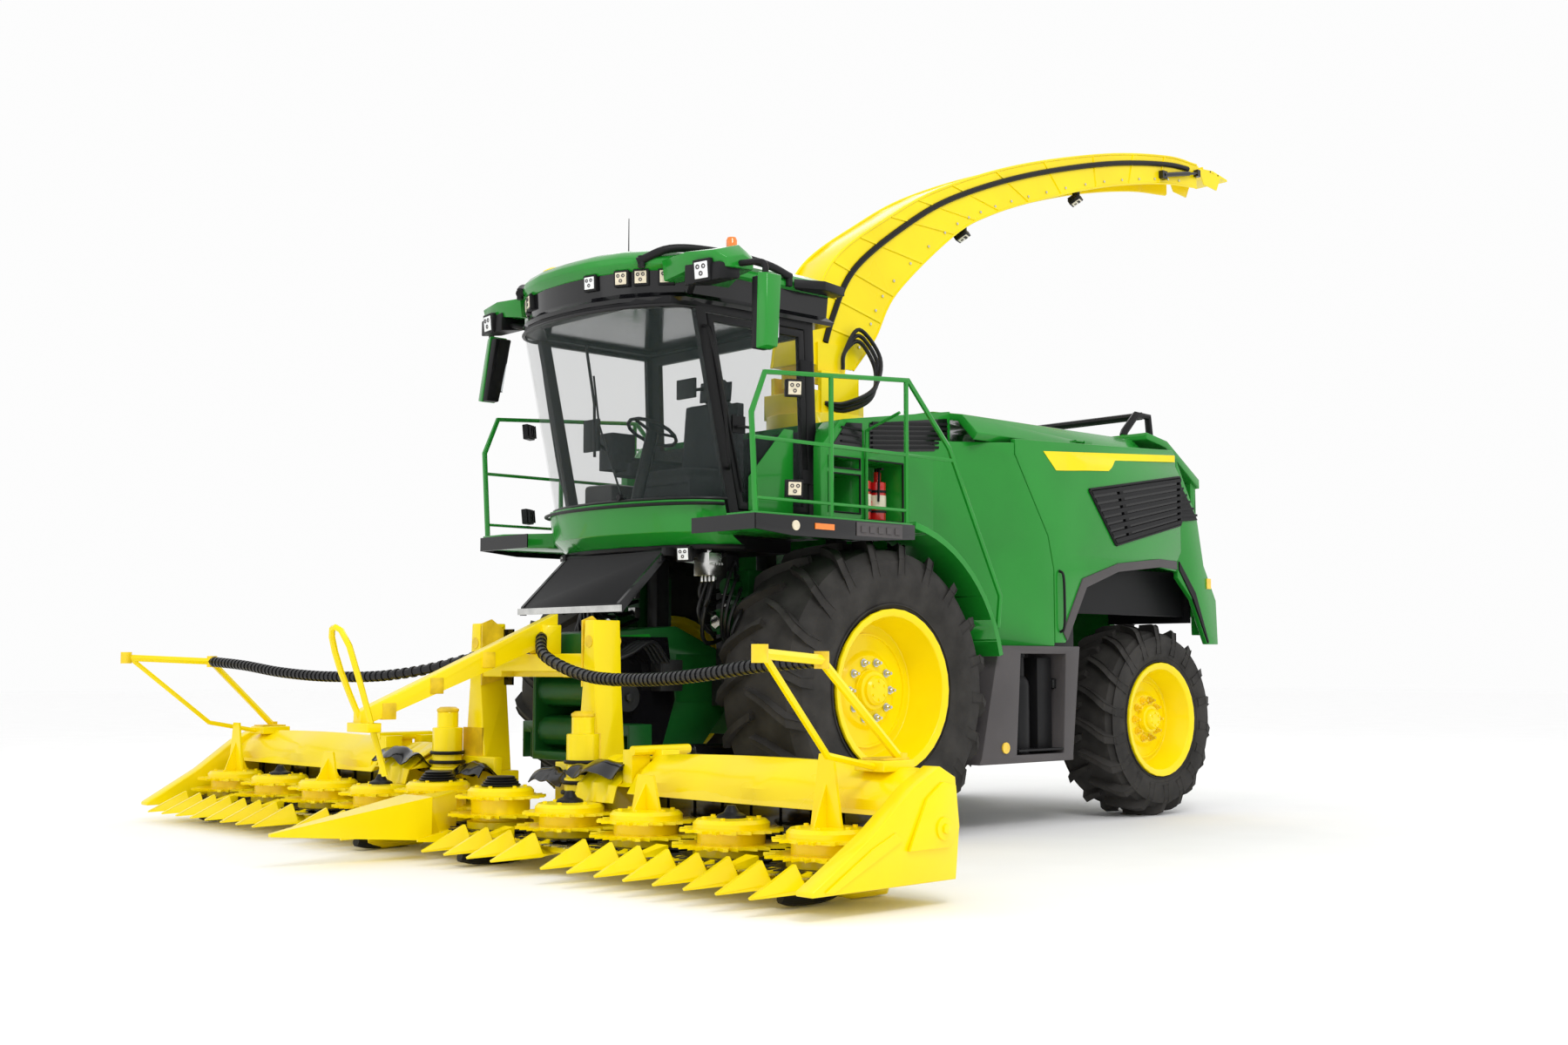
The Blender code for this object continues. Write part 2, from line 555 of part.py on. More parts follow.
def cab():
    inner = CAB_X - CAB_WALL
    head = CAB_TOP - 0.06
    sides = [slab("X", cab_outline(0, CAB_BASE, CAB_TOP), *sorted((sign * inner, sign * CAB_X))) for sign in (1, -1)]
    opening = cab_outline(PILLAR, CAB_SILL, head)
    holes = [slab("X", opening, *sorted((sign * (inner - 0.1), sign * (CAB_X + 0.1)))) for sign in (1, -1)]
    floor = slab("Z", bow_plan(CAB_FRONT_LOW + 0.04, CAB_REAR_LOW), CAB_BASE, CAB_FLOOR)
    belly = cuboid((-0.74, -1.05, CAB_BELLY), (0.74, -0.20, CAB_BASE + 0.01))
    lugs = [cuboid((min(sign * (COVER_HALF_W + 0.0005), sign * (COVER_HALF_W + 0.04)), COVER_HINGE_Y - 0.03, COVER_HINGE_Z - 0.03),
                   (max(sign * (COVER_HALF_W + 0.0005), sign * (COVER_HALF_W + 0.04)), -0.80, CAB_BELLY + 0.01)) for sign in (1, -1)]
    ceiling = slab("Z", bow_plan(CAB_FRONT_HIGH, CAB_REAR_HIGH), CAB_TOP - 0.03, CAB_TOP + 0.03)
    ceiling_hole = slab("Z", [(0.80, -0.28), (0.80, -1.30), (0.5, -1.55), (-0.5, -1.55), (-0.80, -1.30), (-0.80, -0.28)],
                        CAB_TOP - 0.1, CAB_TOP + 0.1)
    back = slab("X", [(rear_y(CAB_BASE) - 0.05, CAB_BASE), (rear_y(CAB_BASE), CAB_BASE), (rear_y(CAB_TOP), CAB_TOP),
                      (rear_y(CAB_TOP) - 0.05, CAB_TOP)], -CAB_X + 0.01, CAB_X - 0.01)
    back_hole = cuboid((-0.80, -0.4, 2.95), (0.80, 0.2, CAB_TOP - 0.10))
    part("cab_frame", BLACK, sides + [floor, belly, ceiling, back, *lugs], holes + [back_hole, ceiling_hole])

    hinge = (DOOR_HINGE_X, DOOR_HINGE_Y, (CAB_SILL + CAB_TOP) / 2)
    frame = slab("X", cab_outline(PILLAR + RUN, CAB_SILL + RUN, head - RUN), inner + 0.008, CAB_X)
    window = slab("X", cab_outline(PILLAR + 0.06, CAB_SILL + 0.06, head - 0.06), inner - 0.1, CAB_X + 0.1)
    knuckles = [cylinder((DOOR_HINGE_X, DOOR_HINGE_Y, z), (DOOR_HINGE_X, DOOR_HINGE_Y, z + 0.10), 0.0145, 8)
                for z in (2.55, 3.35)]
    straps = [cuboid((CAB_X + 0.002, DOOR_HINGE_Y - 0.13, z), (DOOR_HINGE_X + 0.006, DOOR_HINGE_Y, z + 0.10))
              for z in (2.55, 3.35)]
    straps += [cuboid((CAB_X - 0.005, DOOR_HINGE_Y - 0.13, z), (CAB_X + 0.004, DOOR_HINGE_Y - 0.07, z + 0.10))
               for z in (2.55, 3.35)]
    glass = slab("X", cab_outline(PILLAR + 0.06 + GAP, CAB_SILL + 0.06 + GAP, head - 0.06 - GAP),
                 CAB_X - 0.025, CAB_X - 0.025 + GLASS)
    part("cab_door", BLACK, [frame, *knuckles, *straps], [window], pivot=hinge)
    part("door_glass", CLEAR, [glass], pivot=hinge)
    fixed = slab("X", cab_outline(PILLAR + GAP, CAB_SILL + GAP, head - GAP), -CAB_X + 0.015, -CAB_X + 0.015 + GLASS)
    part("side_window_right", CLEAR, [fixed])
    rear = cuboid((-0.80 + GAP, rear_y(3.3) - 0.030, 2.95 + GAP), (0.80 - GAP, rear_y(3.3) - 0.020, CAB_TOP - 0.10 - GAP))
    part("rear_window", CLEAR, [rear])
    low, high = NOSE_TOP + GAP, CAB_TOP - 0.03 - 0.004
    screen = sheet([bow(front_y(z) - SCREEN_OFFSET, z) for z in (low, high)], GLASS)
    part("windscreen", CLEAR, [screen])
    nose = sheet([bow(y, z, CAB_X + 0.02) for z, y in ((2.07, -0.86), (2.16, -0.99), (NOSE_TOP, -1.04))], 0.02)
    part("nose_fairing", GREEN, [nose])


def roof():
    base = CAB_TOP + 0.03 + GAP
    plan = [(0.97, 0.02), (0.97, -0.95), (0.93, -1.38), (0.55, -1.66), (0, -1.74)]
    plan += [(-x, y) for x, y in reversed(plan[:-1])]
    blanks = [slab("Z", plan, base, 3.98)]
    crown = [(-0.02, 3.90), (-0.02, 4.04), (-0.60, 4.16), (-1.30, 4.20), (-1.60, 4.10), (-1.66, 3.90)]
    blanks.append(slab("X", crown, -0.60, 0.60))
    for sign in (1, -1):
        ear = tapered("X", (0.85, (-1.50, -0.95), (3.80, 4.02)), (1.42, (-1.46, -1.20), (3.88, 4.04)))
        mirror = [tube([(1.36, -1.33, 3.92), (1.60, -1.27, 3.90), (1.60, -1.27, 3.60)], 0.022),
                  tapered("Z", (3.32, (1.55, 1.68), (-1.33, -1.22)), (3.84, (1.50, 1.63), (-1.28, -1.14)))]
        for mesh in [ear] + mirror:
            blanks.append(mesh if sign > 0 else flip(mesh))
    dome = cylinder((-0.50, -1.45, 4.05), (-0.50, -1.45, 4.22), 0.12, 14, 0.07)
    blanks.append(dome)
    part("cab_roof", GREEN, blanks)


def cab_inside():
    floor = CAB_FLOOR + GAP
    seat = [
        cuboid((-0.20, -0.62, floor), (0.20, -0.30, 2.46)),
        cuboid((-0.27, -0.78, 2.44), (0.27, -0.26, 2.60)),
        tapered("Z", (2.56, (-0.26, 0.26), (-0.38, -0.24)), (3.22, (-0.23, 0.23), (-0.28, -0.16 - 0.05))),
        cuboid((-0.48, -0.88, 2.66), (-0.30, -0.30, 2.76)),
        cuboid((-0.44, -0.60, 2.40), (-0.34, -0.40, 2.70)),
        cuboid((-0.40, -0.56, 2.46), (-0.15, -0.44, 2.56)),
        cuboid((-0.50, -1.02, 2.70), (-0.34, -0.80, 2.98)),
    ]
    part("operator_seat", SEAT, seat)
    hub = Vector((0, -0.93, 2.92))
    lean = Vector((0, 0.45, 0.9)).normalized()
    spin = lean.to_track_quat("Z", "Y")
    ring = [hub + lean * 0.04 + spin @ Vector((0.19 * math.cos(a), 0.19 * math.sin(a), 0))
            for a in (math.tau * i / 14 for i in range(14))]
    column = [cuboid((-0.13, -1.22, floor), (0.13, -0.98, 2.32)),
              cylinder((0, -1.10, 2.28), tuple(hub + lean * 0.05), 0.045, 12), tube(ring, 0.014, closed=True)]
    for a in (math.radians(90), math.radians(210), math.radians(330)):
        rim = hub + lean * 0.04 + spin @ Vector((0.19 * math.cos(a), 0.19 * math.sin(a), 0))
        column.append(tube([tuple(hub + lean * 0.04), tuple(rim)], 0.012))
    part("steering_column", BLACK, column)


def walkways():
    inner = CAB_X + 0.02 + GAP
    plate = slab("Z", [(inner, -1.10), (1.30, -1.33), (DECK_X, -1.33), (DECK_X, 0.20), (1.06, 0.20),
                       (1.06, -0.305), (inner, -0.305)], DECK - 0.11, DECK)
    x = DECK_X - 0.025
    rails = [tube([(x, -1.30, DECK - 0.02), (x, -1.34, 2.9), (x, -1.22, 3.18), (x, 0.18, 3.28), (x, 0.62, 2.83),
                   (x, 1.19, 1.76), (x, 1.16, 1.52)], 0.02),
             tube([(x, -1.34, 2.74), (x, 0.66, 2.74)], 0.014),
             tube([(x, -0.60, DECK - 0.02), (x, -0.60, 3.23)], 0.018),
             tube([(x, 0.16, DECK - 0.02), (x, 0.16, 3.27)], 0.018)]
    pair("walkway", GREEN, [plate] + rails)


# ---------------------------------------------------------------- feed housing and header
def feeder():
    half = FEED_HALF_W
    outline = [(FEED_FRONT, 0.58), (FEED_FRONT, 1.46), (-0.95, 1.52), (-0.42, 1.30), (-0.42, 0.98), (-0.70, 0.66)]
    body = slab("X", outline, -half, half)
    mouth = cuboid((-half + 0.03, FEED_FRONT - 0.1, 0.64), (half - 0.03, FEED_FRONT + 0.75, 1.22))
    rollers = [cylinder((-half + 0.01, FEED_FRONT + 0.14, z), (half - 0.01, FEED_FRONT + 0.14, z), 0.11, 12)
               for z in (0.78, 1.06)]
    blanks = [body]
    cheeks = []
    for sign in (1, -1):
        x = sorted((sign * (half - 0.03), sign * (RAIL_X - 0.004)))
        cheeks.append(cuboid((x[0], -0.95, 0.98), (x[1], -0.22, 1.32)))
        cheeks.append(cuboid((min(sign * 0.32, sign * (RAIL_X + RAIL_W)), FEED_PIVOT_Y - 0.10, RAIL_HIGH + 0.10 + 0.0005),
                             (max(sign * 0.32, sign * (RAIL_X + RAIL_W)), FEED_PIVOT_Y - 0.055, RAIL_HIGH + 0.14)))
        cheeks.append(cuboid((min(sign * 0.30, sign * 0.335), FEED_PIVOT_Y - 0.10, 1.25),
                             (max(sign * 0.30, sign * 0.335), FEED_PIVOT_Y + 0.10, RAIL_HIGH + 0.13)))
    blanks += cheeks
    for sign in (1, -1):
        for side in (1, -1):
            x = sign * CYLINDER_X + side * (EYE_HALF + RUN + 0.0125)
            blanks.append(cuboid((x - 0.0125, -1.60, 0.58), (x + 0.0125, -1.40, 0.80)))
        low, high = sorted((sign * (half - 0.05), sign * (CYLINDER_X + 0.061)))
        blanks.append(cuboid((low, -1.60, 0.76), (high, -1.40, 0.84)))
    part("feeder_housing", GREEN, blanks, [mouth], rollers, pivot=(0, FEED_PIVOT_Y, FEED_PIVOT_Z))


def intake_cover():
    t = 0.02
    outline = [(COVER_HINGE_Y, COVER_HINGE_Z + t / 2), (COVER_FOOT_Y, COVER_FOOT_Z + t / 2),
               (COVER_FOOT_Y - 0.01, COVER_FOOT_Z - t), (COVER_FOOT_Y + 0.02, COVER_FOOT_Z - t),
               (COVER_HINGE_Y + 0.01, COVER_HINGE_Z - t / 2)]
    cover = slab("X", outline, -COVER_HALF_W, COVER_HALF_W)
    rod = cylinder((-COVER_HALF_W, COVER_HINGE_Y, COVER_HINGE_Z), (COVER_HALF_W, COVER_HINGE_Y, COVER_HINGE_Z), 0.02, 10)
    part("intake_cover", BLACK, [cover, rod], pivot=(0, COVER_HINGE_Y, COVER_HINGE_Z))


def snout(x, tip_y, tip_z, back_y, width, height):
    return tapered("Y", (tip_y, (x - 0.006, x + 0.006), (tip_z - 0.012, tip_z + 0.004)),
                   (back_y, (x - width / 2, x + width / 2), (PAN_LOW - 0.02, PAN_LOW - 0.02 + height)))


def snouts(places):
    """Crop dividers: a long one between rows, two short ones within each."""
    made = []
    for x in places:
        big = abs(x / ROW_PITCH - round(x / ROW_PITCH)) < 0.01
        tip = SNOUT_TIP_Y if big else SNOUT_TIP_Y + 0.03
        made.append(snout(x, tip, SNOUT_TIP_Z, PAN_FRONT + (0.10 if big else 0.04), 0.10 if big else 0.07,
                          0.13 if big else 0.09))
    return made


BEAM_TOP = 1.32               # cross beam that hooks on the feed housing
FOLD_LENGTH = 0.15 - GAP
FOLD_KNUCKLES = (-2.27, -2.12, -1.97)


def header_frame():
    half = WING_SPLIT - 0.003
    third = ROW_PITCH / 3
    pan = cuboid((-half, PAN_FRONT, PAN_LOW), (half, PAN_REAR, PAN_HIGH))
    wall = cuboid((-half, PAN_REAR - 0.07, PAN_LOW + 0.01), (half, PAN_REAR, WALL_HIGH))
    mouth = cuboid((-0.36, PAN_REAR - 0.2, PAN_HIGH + 0.08), (0.36, PAN_REAR + 0.1, 1.2))
    blanks = [pan, wall]
    blanks += snouts([third * i for i in range(-5, 6) if i])
    divider_rear = ROTOR_Y - ROTOR_R - 0.04
    blanks.append(tapered("Y", (-REACH_FRONT, (-0.015, 0.015), (0.20, 0.22)), (divider_rear, (-0.17, 0.17), (0.12, 0.40))))
    blanks.append(tapered("Y", (divider_rear - 0.02, (-0.14, 0.14), (0.125, 0.38)), (-2.57, (-0.03, 0.03), (0.15, 0.42))))
    for sign in (1, -1):
        post = slab("Y", [(0.52, 0.40), (0.80, 0.40), (0.74, 1.10), (0.72, 1.54), (0.62, 1.54), (0.60, 1.10)],
                    PAN_REAR - 0.03, FEED_FRONT - 0.04)
        drum = cylinder((0.80, -2.12, PAN_LOW + 0.03), (0.80, -2.12, 0.80), 0.107, 12)
        cap = cylinder((0.80, -2.12, 0.78), (0.80, -2.12, 0.91), 0.075, 12)
        drum_low = cylinder((0.80, -2.12, PAN_LOW + 0.02), (0.80, -2.12, 0.52), 0.12, 12)
        skid = tube([(0.66, -2.40, 0.15), (0.66, -2.42, 0.035), (0.64, -2.72, 0.035), (0.63, -2.86, 0.06)], 0.035, resolution=2)
        cover = slab("X", [(-2.30, 0.50), (-2.18, 0.56), (PAN_REAR - 0.01, 0.66), (PAN_REAR - 0.01, 0.58), (-2.0, 0.52)],
                     0.98, half)
        strut = cuboid((0.40, PAN_REAR - 0.05, 0.36), (0.55, FEED_FRONT - 0.06, 0.50))
        hinges = []
        for y in FOLD_KNUCKLES[::2]:
            hinges.append(cylinder((WING_SPLIT, y, FOLD_Z), (WING_SPLIT, y + FOLD_LENGTH, FOLD_Z), FOLD_R, 10))
            hinges.append(cuboid((WING_SPLIT - 0.10, y + 0.004, 0.51),
                                 (WING_SPLIT - 0.007, y + FOLD_LENGTH - 0.004, FOLD_Z + 0.005)))
        for mesh in (post, drum, cap, drum_low, skid, cover, strut, *hinges):
            blanks.append(mesh if sign > 0 else flip(mesh))
    blanks.append(cuboid((-0.70, PAN_REAR - 0.02, 1.16), (0.70, FEED_FRONT - 0.05, BEAM_TOP)))
    blanks.append(cuboid((-FEED_HALF_W, FEED_FRONT - 0.10, 1.24), (FEED_HALF_W, FEED_FRONT - GAP, BEAM_TOP)))
    part("header_frame", YELLOW, blanks, [mouth], pivot=(0, FEED_PIVOT_Y, FEED_PIVOT_Z))


HOSE_IN, HOSE_OUT = 1.20, 2.00  # the flexible tube crosses the fold between these
ARM_ROOT, ARM_TIP = (0, -1.86, 1.50), (0, -3.30, 0.90)


def centre_arm():
    root, tip = Vector(ARM_ROOT), Vector(ARM_TIP)
    beam = slab("X", [(root.y + 0.08, root.z + 0.10), (root.y + 0.08, root.z - 0.08), (tip.y, tip.z - 0.05),
                      (tip.y, tip.z + 0.05)], -0.05, 0.05)
    loop = smooth([(0, -3.28, 0.90), (0, -3.42, 1.20), (0.02, -3.50, 1.42), (0.10, -3.52, 1.48), (0.17, -3.46, 1.36),
                   (0.18, -3.28, 0.80), (0.18, -3.20, 0.55)], 2)
    blanks = [beam, tube(loop, 0.02), cuboid((-0.06, -3.34, 0.82), (0.20, -3.24, 0.88)),
              cuboid((-0.09, -1.92, BEAM_TOP + GAP), (0.09, -1.78, 1.52))]
    for sign in (1, -1):
        hose = smooth([(0, -1.88, 1.44), (sign * 0.35, -2.12, 1.32), (sign * 0.80, -2.26, 1.22), (sign * HOSE_IN, -2.36, 1.17)], 2)
        blanks.append(tube(hose, 0.03, resolution=1))
    part("centre_arm", YELLOW, blanks, pivot=(0, FEED_PIVOT_Y, FEED_PIVOT_Z))


def wings():
    low = WING_SPLIT + 0.003
    third = ROW_PITCH / 3
    pan = cuboid((low, PAN_FRONT, PAN_LOW), (HEADER_HALF, PAN_REAR, PAN_HIGH))
    wall = cuboid((low, PAN_REAR - 0.07, PAN_LOW + 0.01), (HEADER_HALF + 0.02, PAN_REAR, WALL_HIGH))
    blanks = [pan, wall] + snouts([WING_SPLIT + third * i for i in range(1, 9)])
    end = slab("X", [(SNOUT_TIP_Y, 0.125), (SNOUT_TIP_Y, 0.15), (-2.60, 0.40), (-2.30, 0.62), (-2.10, 0.72),
                     (-1.98, 0.66), (PAN_REAR, 0.40), (-1.98, PAN_LOW)], HEADER_HALF - 0.02, HEADER_HALF + 0.10)
    cover = slab("X", [(-2.32, 0.46), (-2.24, 0.58), (-2.08, 0.68), (PAN_REAR - 0.01, 0.66), (PAN_REAR - 0.01, 0.56),
                       (-2.12, 0.50)], low, HEADER_HALF)
    skid = tube([(3.36, -1.98, 0.15), (3.36, -2.02, 0.035), (3.34, -2.24, 0.035), (3.33, -2.34, 0.06)], 0.035, resolution=2)
    y = FOLD_KNUCKLES[1]
    hinge = cylinder((WING_SPLIT, y, FOLD_Z), (WING_SPLIT, y + FOLD_LENGTH, FOLD_Z), FOLD_R, 10)
    strap = cuboid((WING_SPLIT + 0.007, y + 0.004, 0.55), (WING_SPLIT + 0.10, y + FOLD_LENGTH - 0.004, FOLD_Z + 0.005))
    pair("header_wing", YELLOW, blanks + [end, cover, skid, hinge, strap], pivot=(WING_SPLIT, PAN_REAR, FOLD_Z))
    guide = [
        tube([(3.708, -3.24, 1.30), (3.506, -2.614, 1.27)], 0.03),
        tube([(3.70, -3.22, 1.30), (3.54, -2.62, 0.78), (3.50, -2.20, 0.70)], 0.02),
        tube([(3.506, -2.63, 1.27), (3.535, -2.04, 0.72)], 0.025),
        cuboid((3.36, -2.24, 0.68 + GAP), (3.58, -2.00, 0.74)),
        tube(smooth([(3.52, -2.63, 1.27), (3.0, -2.60, 1.24), (2.5, -2.56, 1.19), (HOSE_OUT, -2.50, 1.16)], 2), 0.03),
    ]
    pair("crop_guide", YELLOW, guide, pivot=(WING_SPLIT, PAN_REAR, FOLD_Z))


def rotors():
    base = PAN_HIGH + GAP
    for sign, side in ((1, "left"), (-1, "right")):
        for i in range(ROTORS_A_SIDE):
            x = sign * ROW_PITCH * (i + 0.5)
            raised = 0.06 if i == 0 else 0.0
            blanks = [cylinder((x, ROTOR_Y, base), (x, ROTOR_Y, 0.40 + raised), 0.22, 16),
                      cylinder((x, ROTOR_Y, 0.25), (x, ROTOR_Y, 0.262), ROTOR_R, 20),
                      cylinder((x, ROTOR_Y, 0.33 + raised), (x, ROTOR_Y, 0.345 + raised), 0.29, 16)]
            if i == 4:
                blanks.append(tapered("Z", (0.38, (x - 0.09, x + 0.09), (ROTOR_Y - 0.05, ROTOR_Y + 0.05)),
                                      (0.779, (x - 0.05, x + 0.05), (ROTOR_Y - 0.01, ROTOR_Y + 0.01))))
            elif i == 2:
                blanks.append(tapered("Z", (0.38, (x - 0.15, x + 0.15), (ROTOR_Y - 0.07, ROTOR_Y + 0.07)),
                                      (0.60, (x - 0.07, x + 0.07), (ROTOR_Y - 0.02, ROTOR_Y + 0.02))))
            else:
                blanks.append(cylinder((x, ROTOR_Y, 0.38 + raised), (x, ROTOR_Y, 0.47 + raised), 0.06, 8, 0.02))
            part(f"rotor_{side}_{i + 1}", YELLOW, blanks, pivot=(x, ROTOR_Y, 0.30))


def lift_cylinders():
    rear, front = Vector((CYLINDER_X, *CYLINDER_REAR)), Vector((CYLINDER_X, *CYLINDER_FRONT))
    along = (front - rear).normalized()
    side = Vector((EYE_HALF, 0, 0))
    eye = cylinder(tuple(rear - side), tuple(rear + side), 0.055, 14)
    neck = cylinder(tuple(rear), tuple(rear + along * 0.09), 0.025, 10)
    barrel = cylinder(tuple(rear + along * 0.07), tuple(rear + along * 0.78), 0.05, 14)
    bore = cylinder(tuple(rear + along * 0.15), tuple(rear + along * 0.85), 0.031, 14)
    pair("lift_barrel", BLACK, [eye, neck, barrel], [bore], pivot=tuple(rear))
    rod_eye = cylinder(tuple(front - side), tuple(front + side), 0.05, 14)
    rod = cylinder(tuple(rear + along * 0.60), tuple(front - along * 0.03), 0.0305, 14)
    pair("lift_rod", STEEL, [rod, rod_eye], pivot=tuple(front))


# ---------------------------------------------------------------- spout
OUTER_EDGE = [(0.47, 3.62), (0.56, 4.06), (0.823, 4.52), (1.441, 4.955), (2.101, 5.326), (3.173, 5.748),
              (4.497, 6.124), (5.518, 6.314), (6.05, 6.335)]
INNER_EDGE = [(1.02, 3.62), (1.277, 3.92), (1.543, 4.339), (2.267, 4.947), (2.798, 5.236), (3.548, 5.518),
              (4.489, 5.813), (5.40, 6.02), (6.05, 6.10)]


def spout():
    duct = turned([(0.30, SPOUT_SHELF), (SPOUT_RING_R, SPOUT_SHELF), (SPOUT_RING_R, 3.05), (0.40, 3.10),
                   (0.40, 3.22), (0.30, 3.22)], (0, SPOUT_Y, 0), (0, 0, 1), 28)
    ears = [cuboid((sign * 0.27 - 0.02, SPOUT_Y - 0.22, 3.15), (sign * 0.27 + 0.02, SPOUT_Y + 0.20, 3.56)) for sign in (1, -1)]
    throat = cuboid((-0.27, 0.46, 3.20), (0.27, 1.06, 3.40))
    bore = cuboid((-0.20, 0.52, 2.9), (0.20, 1.00, 3.6))
    part("spout_turntable", YELLOW, [duct, *ears, throat], [bore], pivot=(0, SPOUT_Y, 3.1))
    outer, inner = smooth(OUTER_EDGE, 2), smooth(INNER_EDGE, 2)
    shell = slab("X", outer + list(reversed(inner)), -SPOUT_HALF_W, SPOUT_HALF_W)
    wall = 0.02
    trough = slab("X", [(0.50, 3.40), *[(y + wall * 0.9, z - wall) for y, z in outer[1:]], (6.30, 6.315), (6.30, 5.70),
                        (4.60, 5.40), (3.40, 5.00), (2.60, 4.50), (2.10, 3.90), (1.24, 3.50), (0.99, 3.40)],
                  -SPOUT_HALF_W + wall, SPOUT_HALF_W - wall)
    pivots = cylinder((-0.2495, SPOUT_PIVOT_Y, SPOUT_PIVOT_Z), (0.2495, SPOUT_PIVOT_Y, SPOUT_PIVOT_Z), 0.05, 14)
    cheek = [slab("X", [(0.60, 3.46), (0.88, 3.46), (0.95, 3.80), (0.60, 3.80)], *sorted((sign * (SPOUT_HALF_W - 0.02), sign * (SPOUT_HALF_W + 0.02))))
             for sign in (1, -1)]
    ends = [cylinder((sign * 0.12, FLAP_Y, FLAP_Z), (sign * SPOUT_HALF_W, FLAP_Y, FLAP_Z), 0.018, 10) for sign in (1, -1)]
    for sign in (1, -1):
        low, high = sorted((sign * 0.125, sign * (SPOUT_HALF_W - 0.005)))
        ends.append(cuboid((low, 6.02, FLAP_Z - 0.015), (high, FLAP_Y, FLAP_Z + 0.01)))
    part("spout_boom", YELLOW, [shell, pivots, *cheek], [trough], ends, pivot=(0, SPOUT_PIVOT_Y, SPOUT_PIVOT_Z))
    flap = slab("X", [(FLAP_Y + 0.025, FLAP_Z), (6.34, 6.335), (REACH_REAR, 6.29), (REACH_REAR, 6.27), (6.34, 6.31),
                      (FLAP_Y + 0.025, FLAP_Z - 0.025)], -SPOUT_HALF_W, SPOUT_HALF_W)
    knuckle = cylinder((-0.12 + GAP, FLAP_Y, FLAP_Z), (0.12 - GAP, FLAP_Y, FLAP_Z), 0.018, 10)
    tongue = cuboid((-0.115, FLAP_Y, FLAP_Z - 0.012), (0.115, FLAP_Y + 0.06, FLAP_Z - 0.004))
    cheeks = [slab("X", [(FLAP_Y + 0.025, FLAP_Z - 0.01), (6.50, 6.30), (6.42, 6.14), (FLAP_Y + 0.115, 6.16)],
                   *sorted((sign * (SPOUT_HALF_W - 0.012), sign * SPOUT_HALF_W))) for sign in (1, -1)]
    part("spout_flap", YELLOW, [flap, knuckle, tongue, *cheeks], pivot=(0, FLAP_Y, FLAP_Z))


# ---------------------------------------------------------------- the whole machine
wheels()
front_axle()
rear_axle()
chassis()
lower_boxes()
service_bodies()
side_panels()
hood()
rear_body()
cab()
roof()
cab_inside()
walkways()
feeder()
intake_cover()
header_frame()
centre_arm()
wings()
rotors()
lift_cylinders()
spout()
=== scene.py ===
# %% [markdown]
# # A forage harvester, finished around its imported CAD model
# The engineering model gives every piece its place and its joints. This lesson keeps those places and
# gives the machine its looks: cleaned panels, treaded tyres, toothed rotors, lamps, louvres and hoses.

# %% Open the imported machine
import json
import math

import bmesh
import bpy
from mathutils import Matrix, Vector, noise


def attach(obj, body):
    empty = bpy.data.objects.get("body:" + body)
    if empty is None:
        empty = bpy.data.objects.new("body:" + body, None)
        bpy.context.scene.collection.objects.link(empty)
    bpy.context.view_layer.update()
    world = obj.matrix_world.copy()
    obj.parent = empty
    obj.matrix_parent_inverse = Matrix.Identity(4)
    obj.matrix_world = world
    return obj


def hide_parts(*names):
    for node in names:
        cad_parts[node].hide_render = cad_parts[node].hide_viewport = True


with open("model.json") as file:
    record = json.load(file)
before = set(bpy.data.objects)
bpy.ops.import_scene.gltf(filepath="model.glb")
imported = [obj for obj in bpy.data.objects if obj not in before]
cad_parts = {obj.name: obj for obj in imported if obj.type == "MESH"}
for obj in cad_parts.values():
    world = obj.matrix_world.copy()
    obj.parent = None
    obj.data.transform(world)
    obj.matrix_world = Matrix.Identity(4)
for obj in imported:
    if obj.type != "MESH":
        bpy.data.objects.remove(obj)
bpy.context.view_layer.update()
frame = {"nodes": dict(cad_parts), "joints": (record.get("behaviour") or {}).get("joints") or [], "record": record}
SIDES = (("left", 1), ("right", -1))
BODY_OF = {node: body for body, nodes in frame["record"]["behaviour"]["bodies"].items() for node in nodes}
ROW_PITCH = 0.75
SNOUT_PITCH = ROW_PITCH / 3
DRUM = (0.80, -2.12, 0)
AXLE_Y = next(joint["pos_m"][1] for joint in frame["joints"] if joint["name"] == "front_wheel_left_spin")
print("nodes", len(frame["nodes"]), "front axle at y", AXLE_Y)

# %% [markdown]
# ## Camera, light and floor
# A low camera with a moderately wide lens makes the front corner loom, as a catalogue view does.
# Big soft lamps and a bright pale room keep the paint clean and the shadows gentle.

# %% Camera
lens = bpy.data.cameras.new("studio_camera")
lens.lens, lens.sensor_width = 39.74, 36.0
camera = bpy.data.objects.new("studio_camera", lens)
camera.location = (9.876, -10.297, 1.247)
camera.rotation_euler = (math.radians(94.690), 0, math.radians(46.551))
bpy.context.scene.collection.objects.link(camera)
bpy.context.scene.camera = camera
bpy.context.scene.view_settings.view_transform = "Standard"

# %% Room and lamps
world = bpy.data.worlds.new("pale_room")
world.use_nodes = True
world.node_tree.nodes["Background"].inputs["Color"].default_value = (1.0, 1.0, 1.0, 1.0)
world.node_tree.nodes["Background"].inputs["Strength"].default_value = 0.98
bpy.context.scene.world = world


def soft_lamp(name, place, aim, size, power):
    light = bpy.data.lights.new(name, "AREA")
    light.shape, light.size, light.energy = "DISK", size, power
    lamp = bpy.data.objects.new(name, light)
    lamp.location = place
    lamp.rotation_euler = (Vector(aim) - Vector(place)).to_track_quat("-Z", "Y").to_euler()
    bpy.context.scene.collection.objects.link(lamp)


soft_lamp("key_lamp", (11, -7, 12), (0, -1, 1.5), 5, 620)
soft_lamp("front_lamp", (-2, -14, 7), (0, -3, 1), 7, 60)
soft_lamp("rear_lamp", (-9, 8, 10), (0, 1, 2), 7, 160)


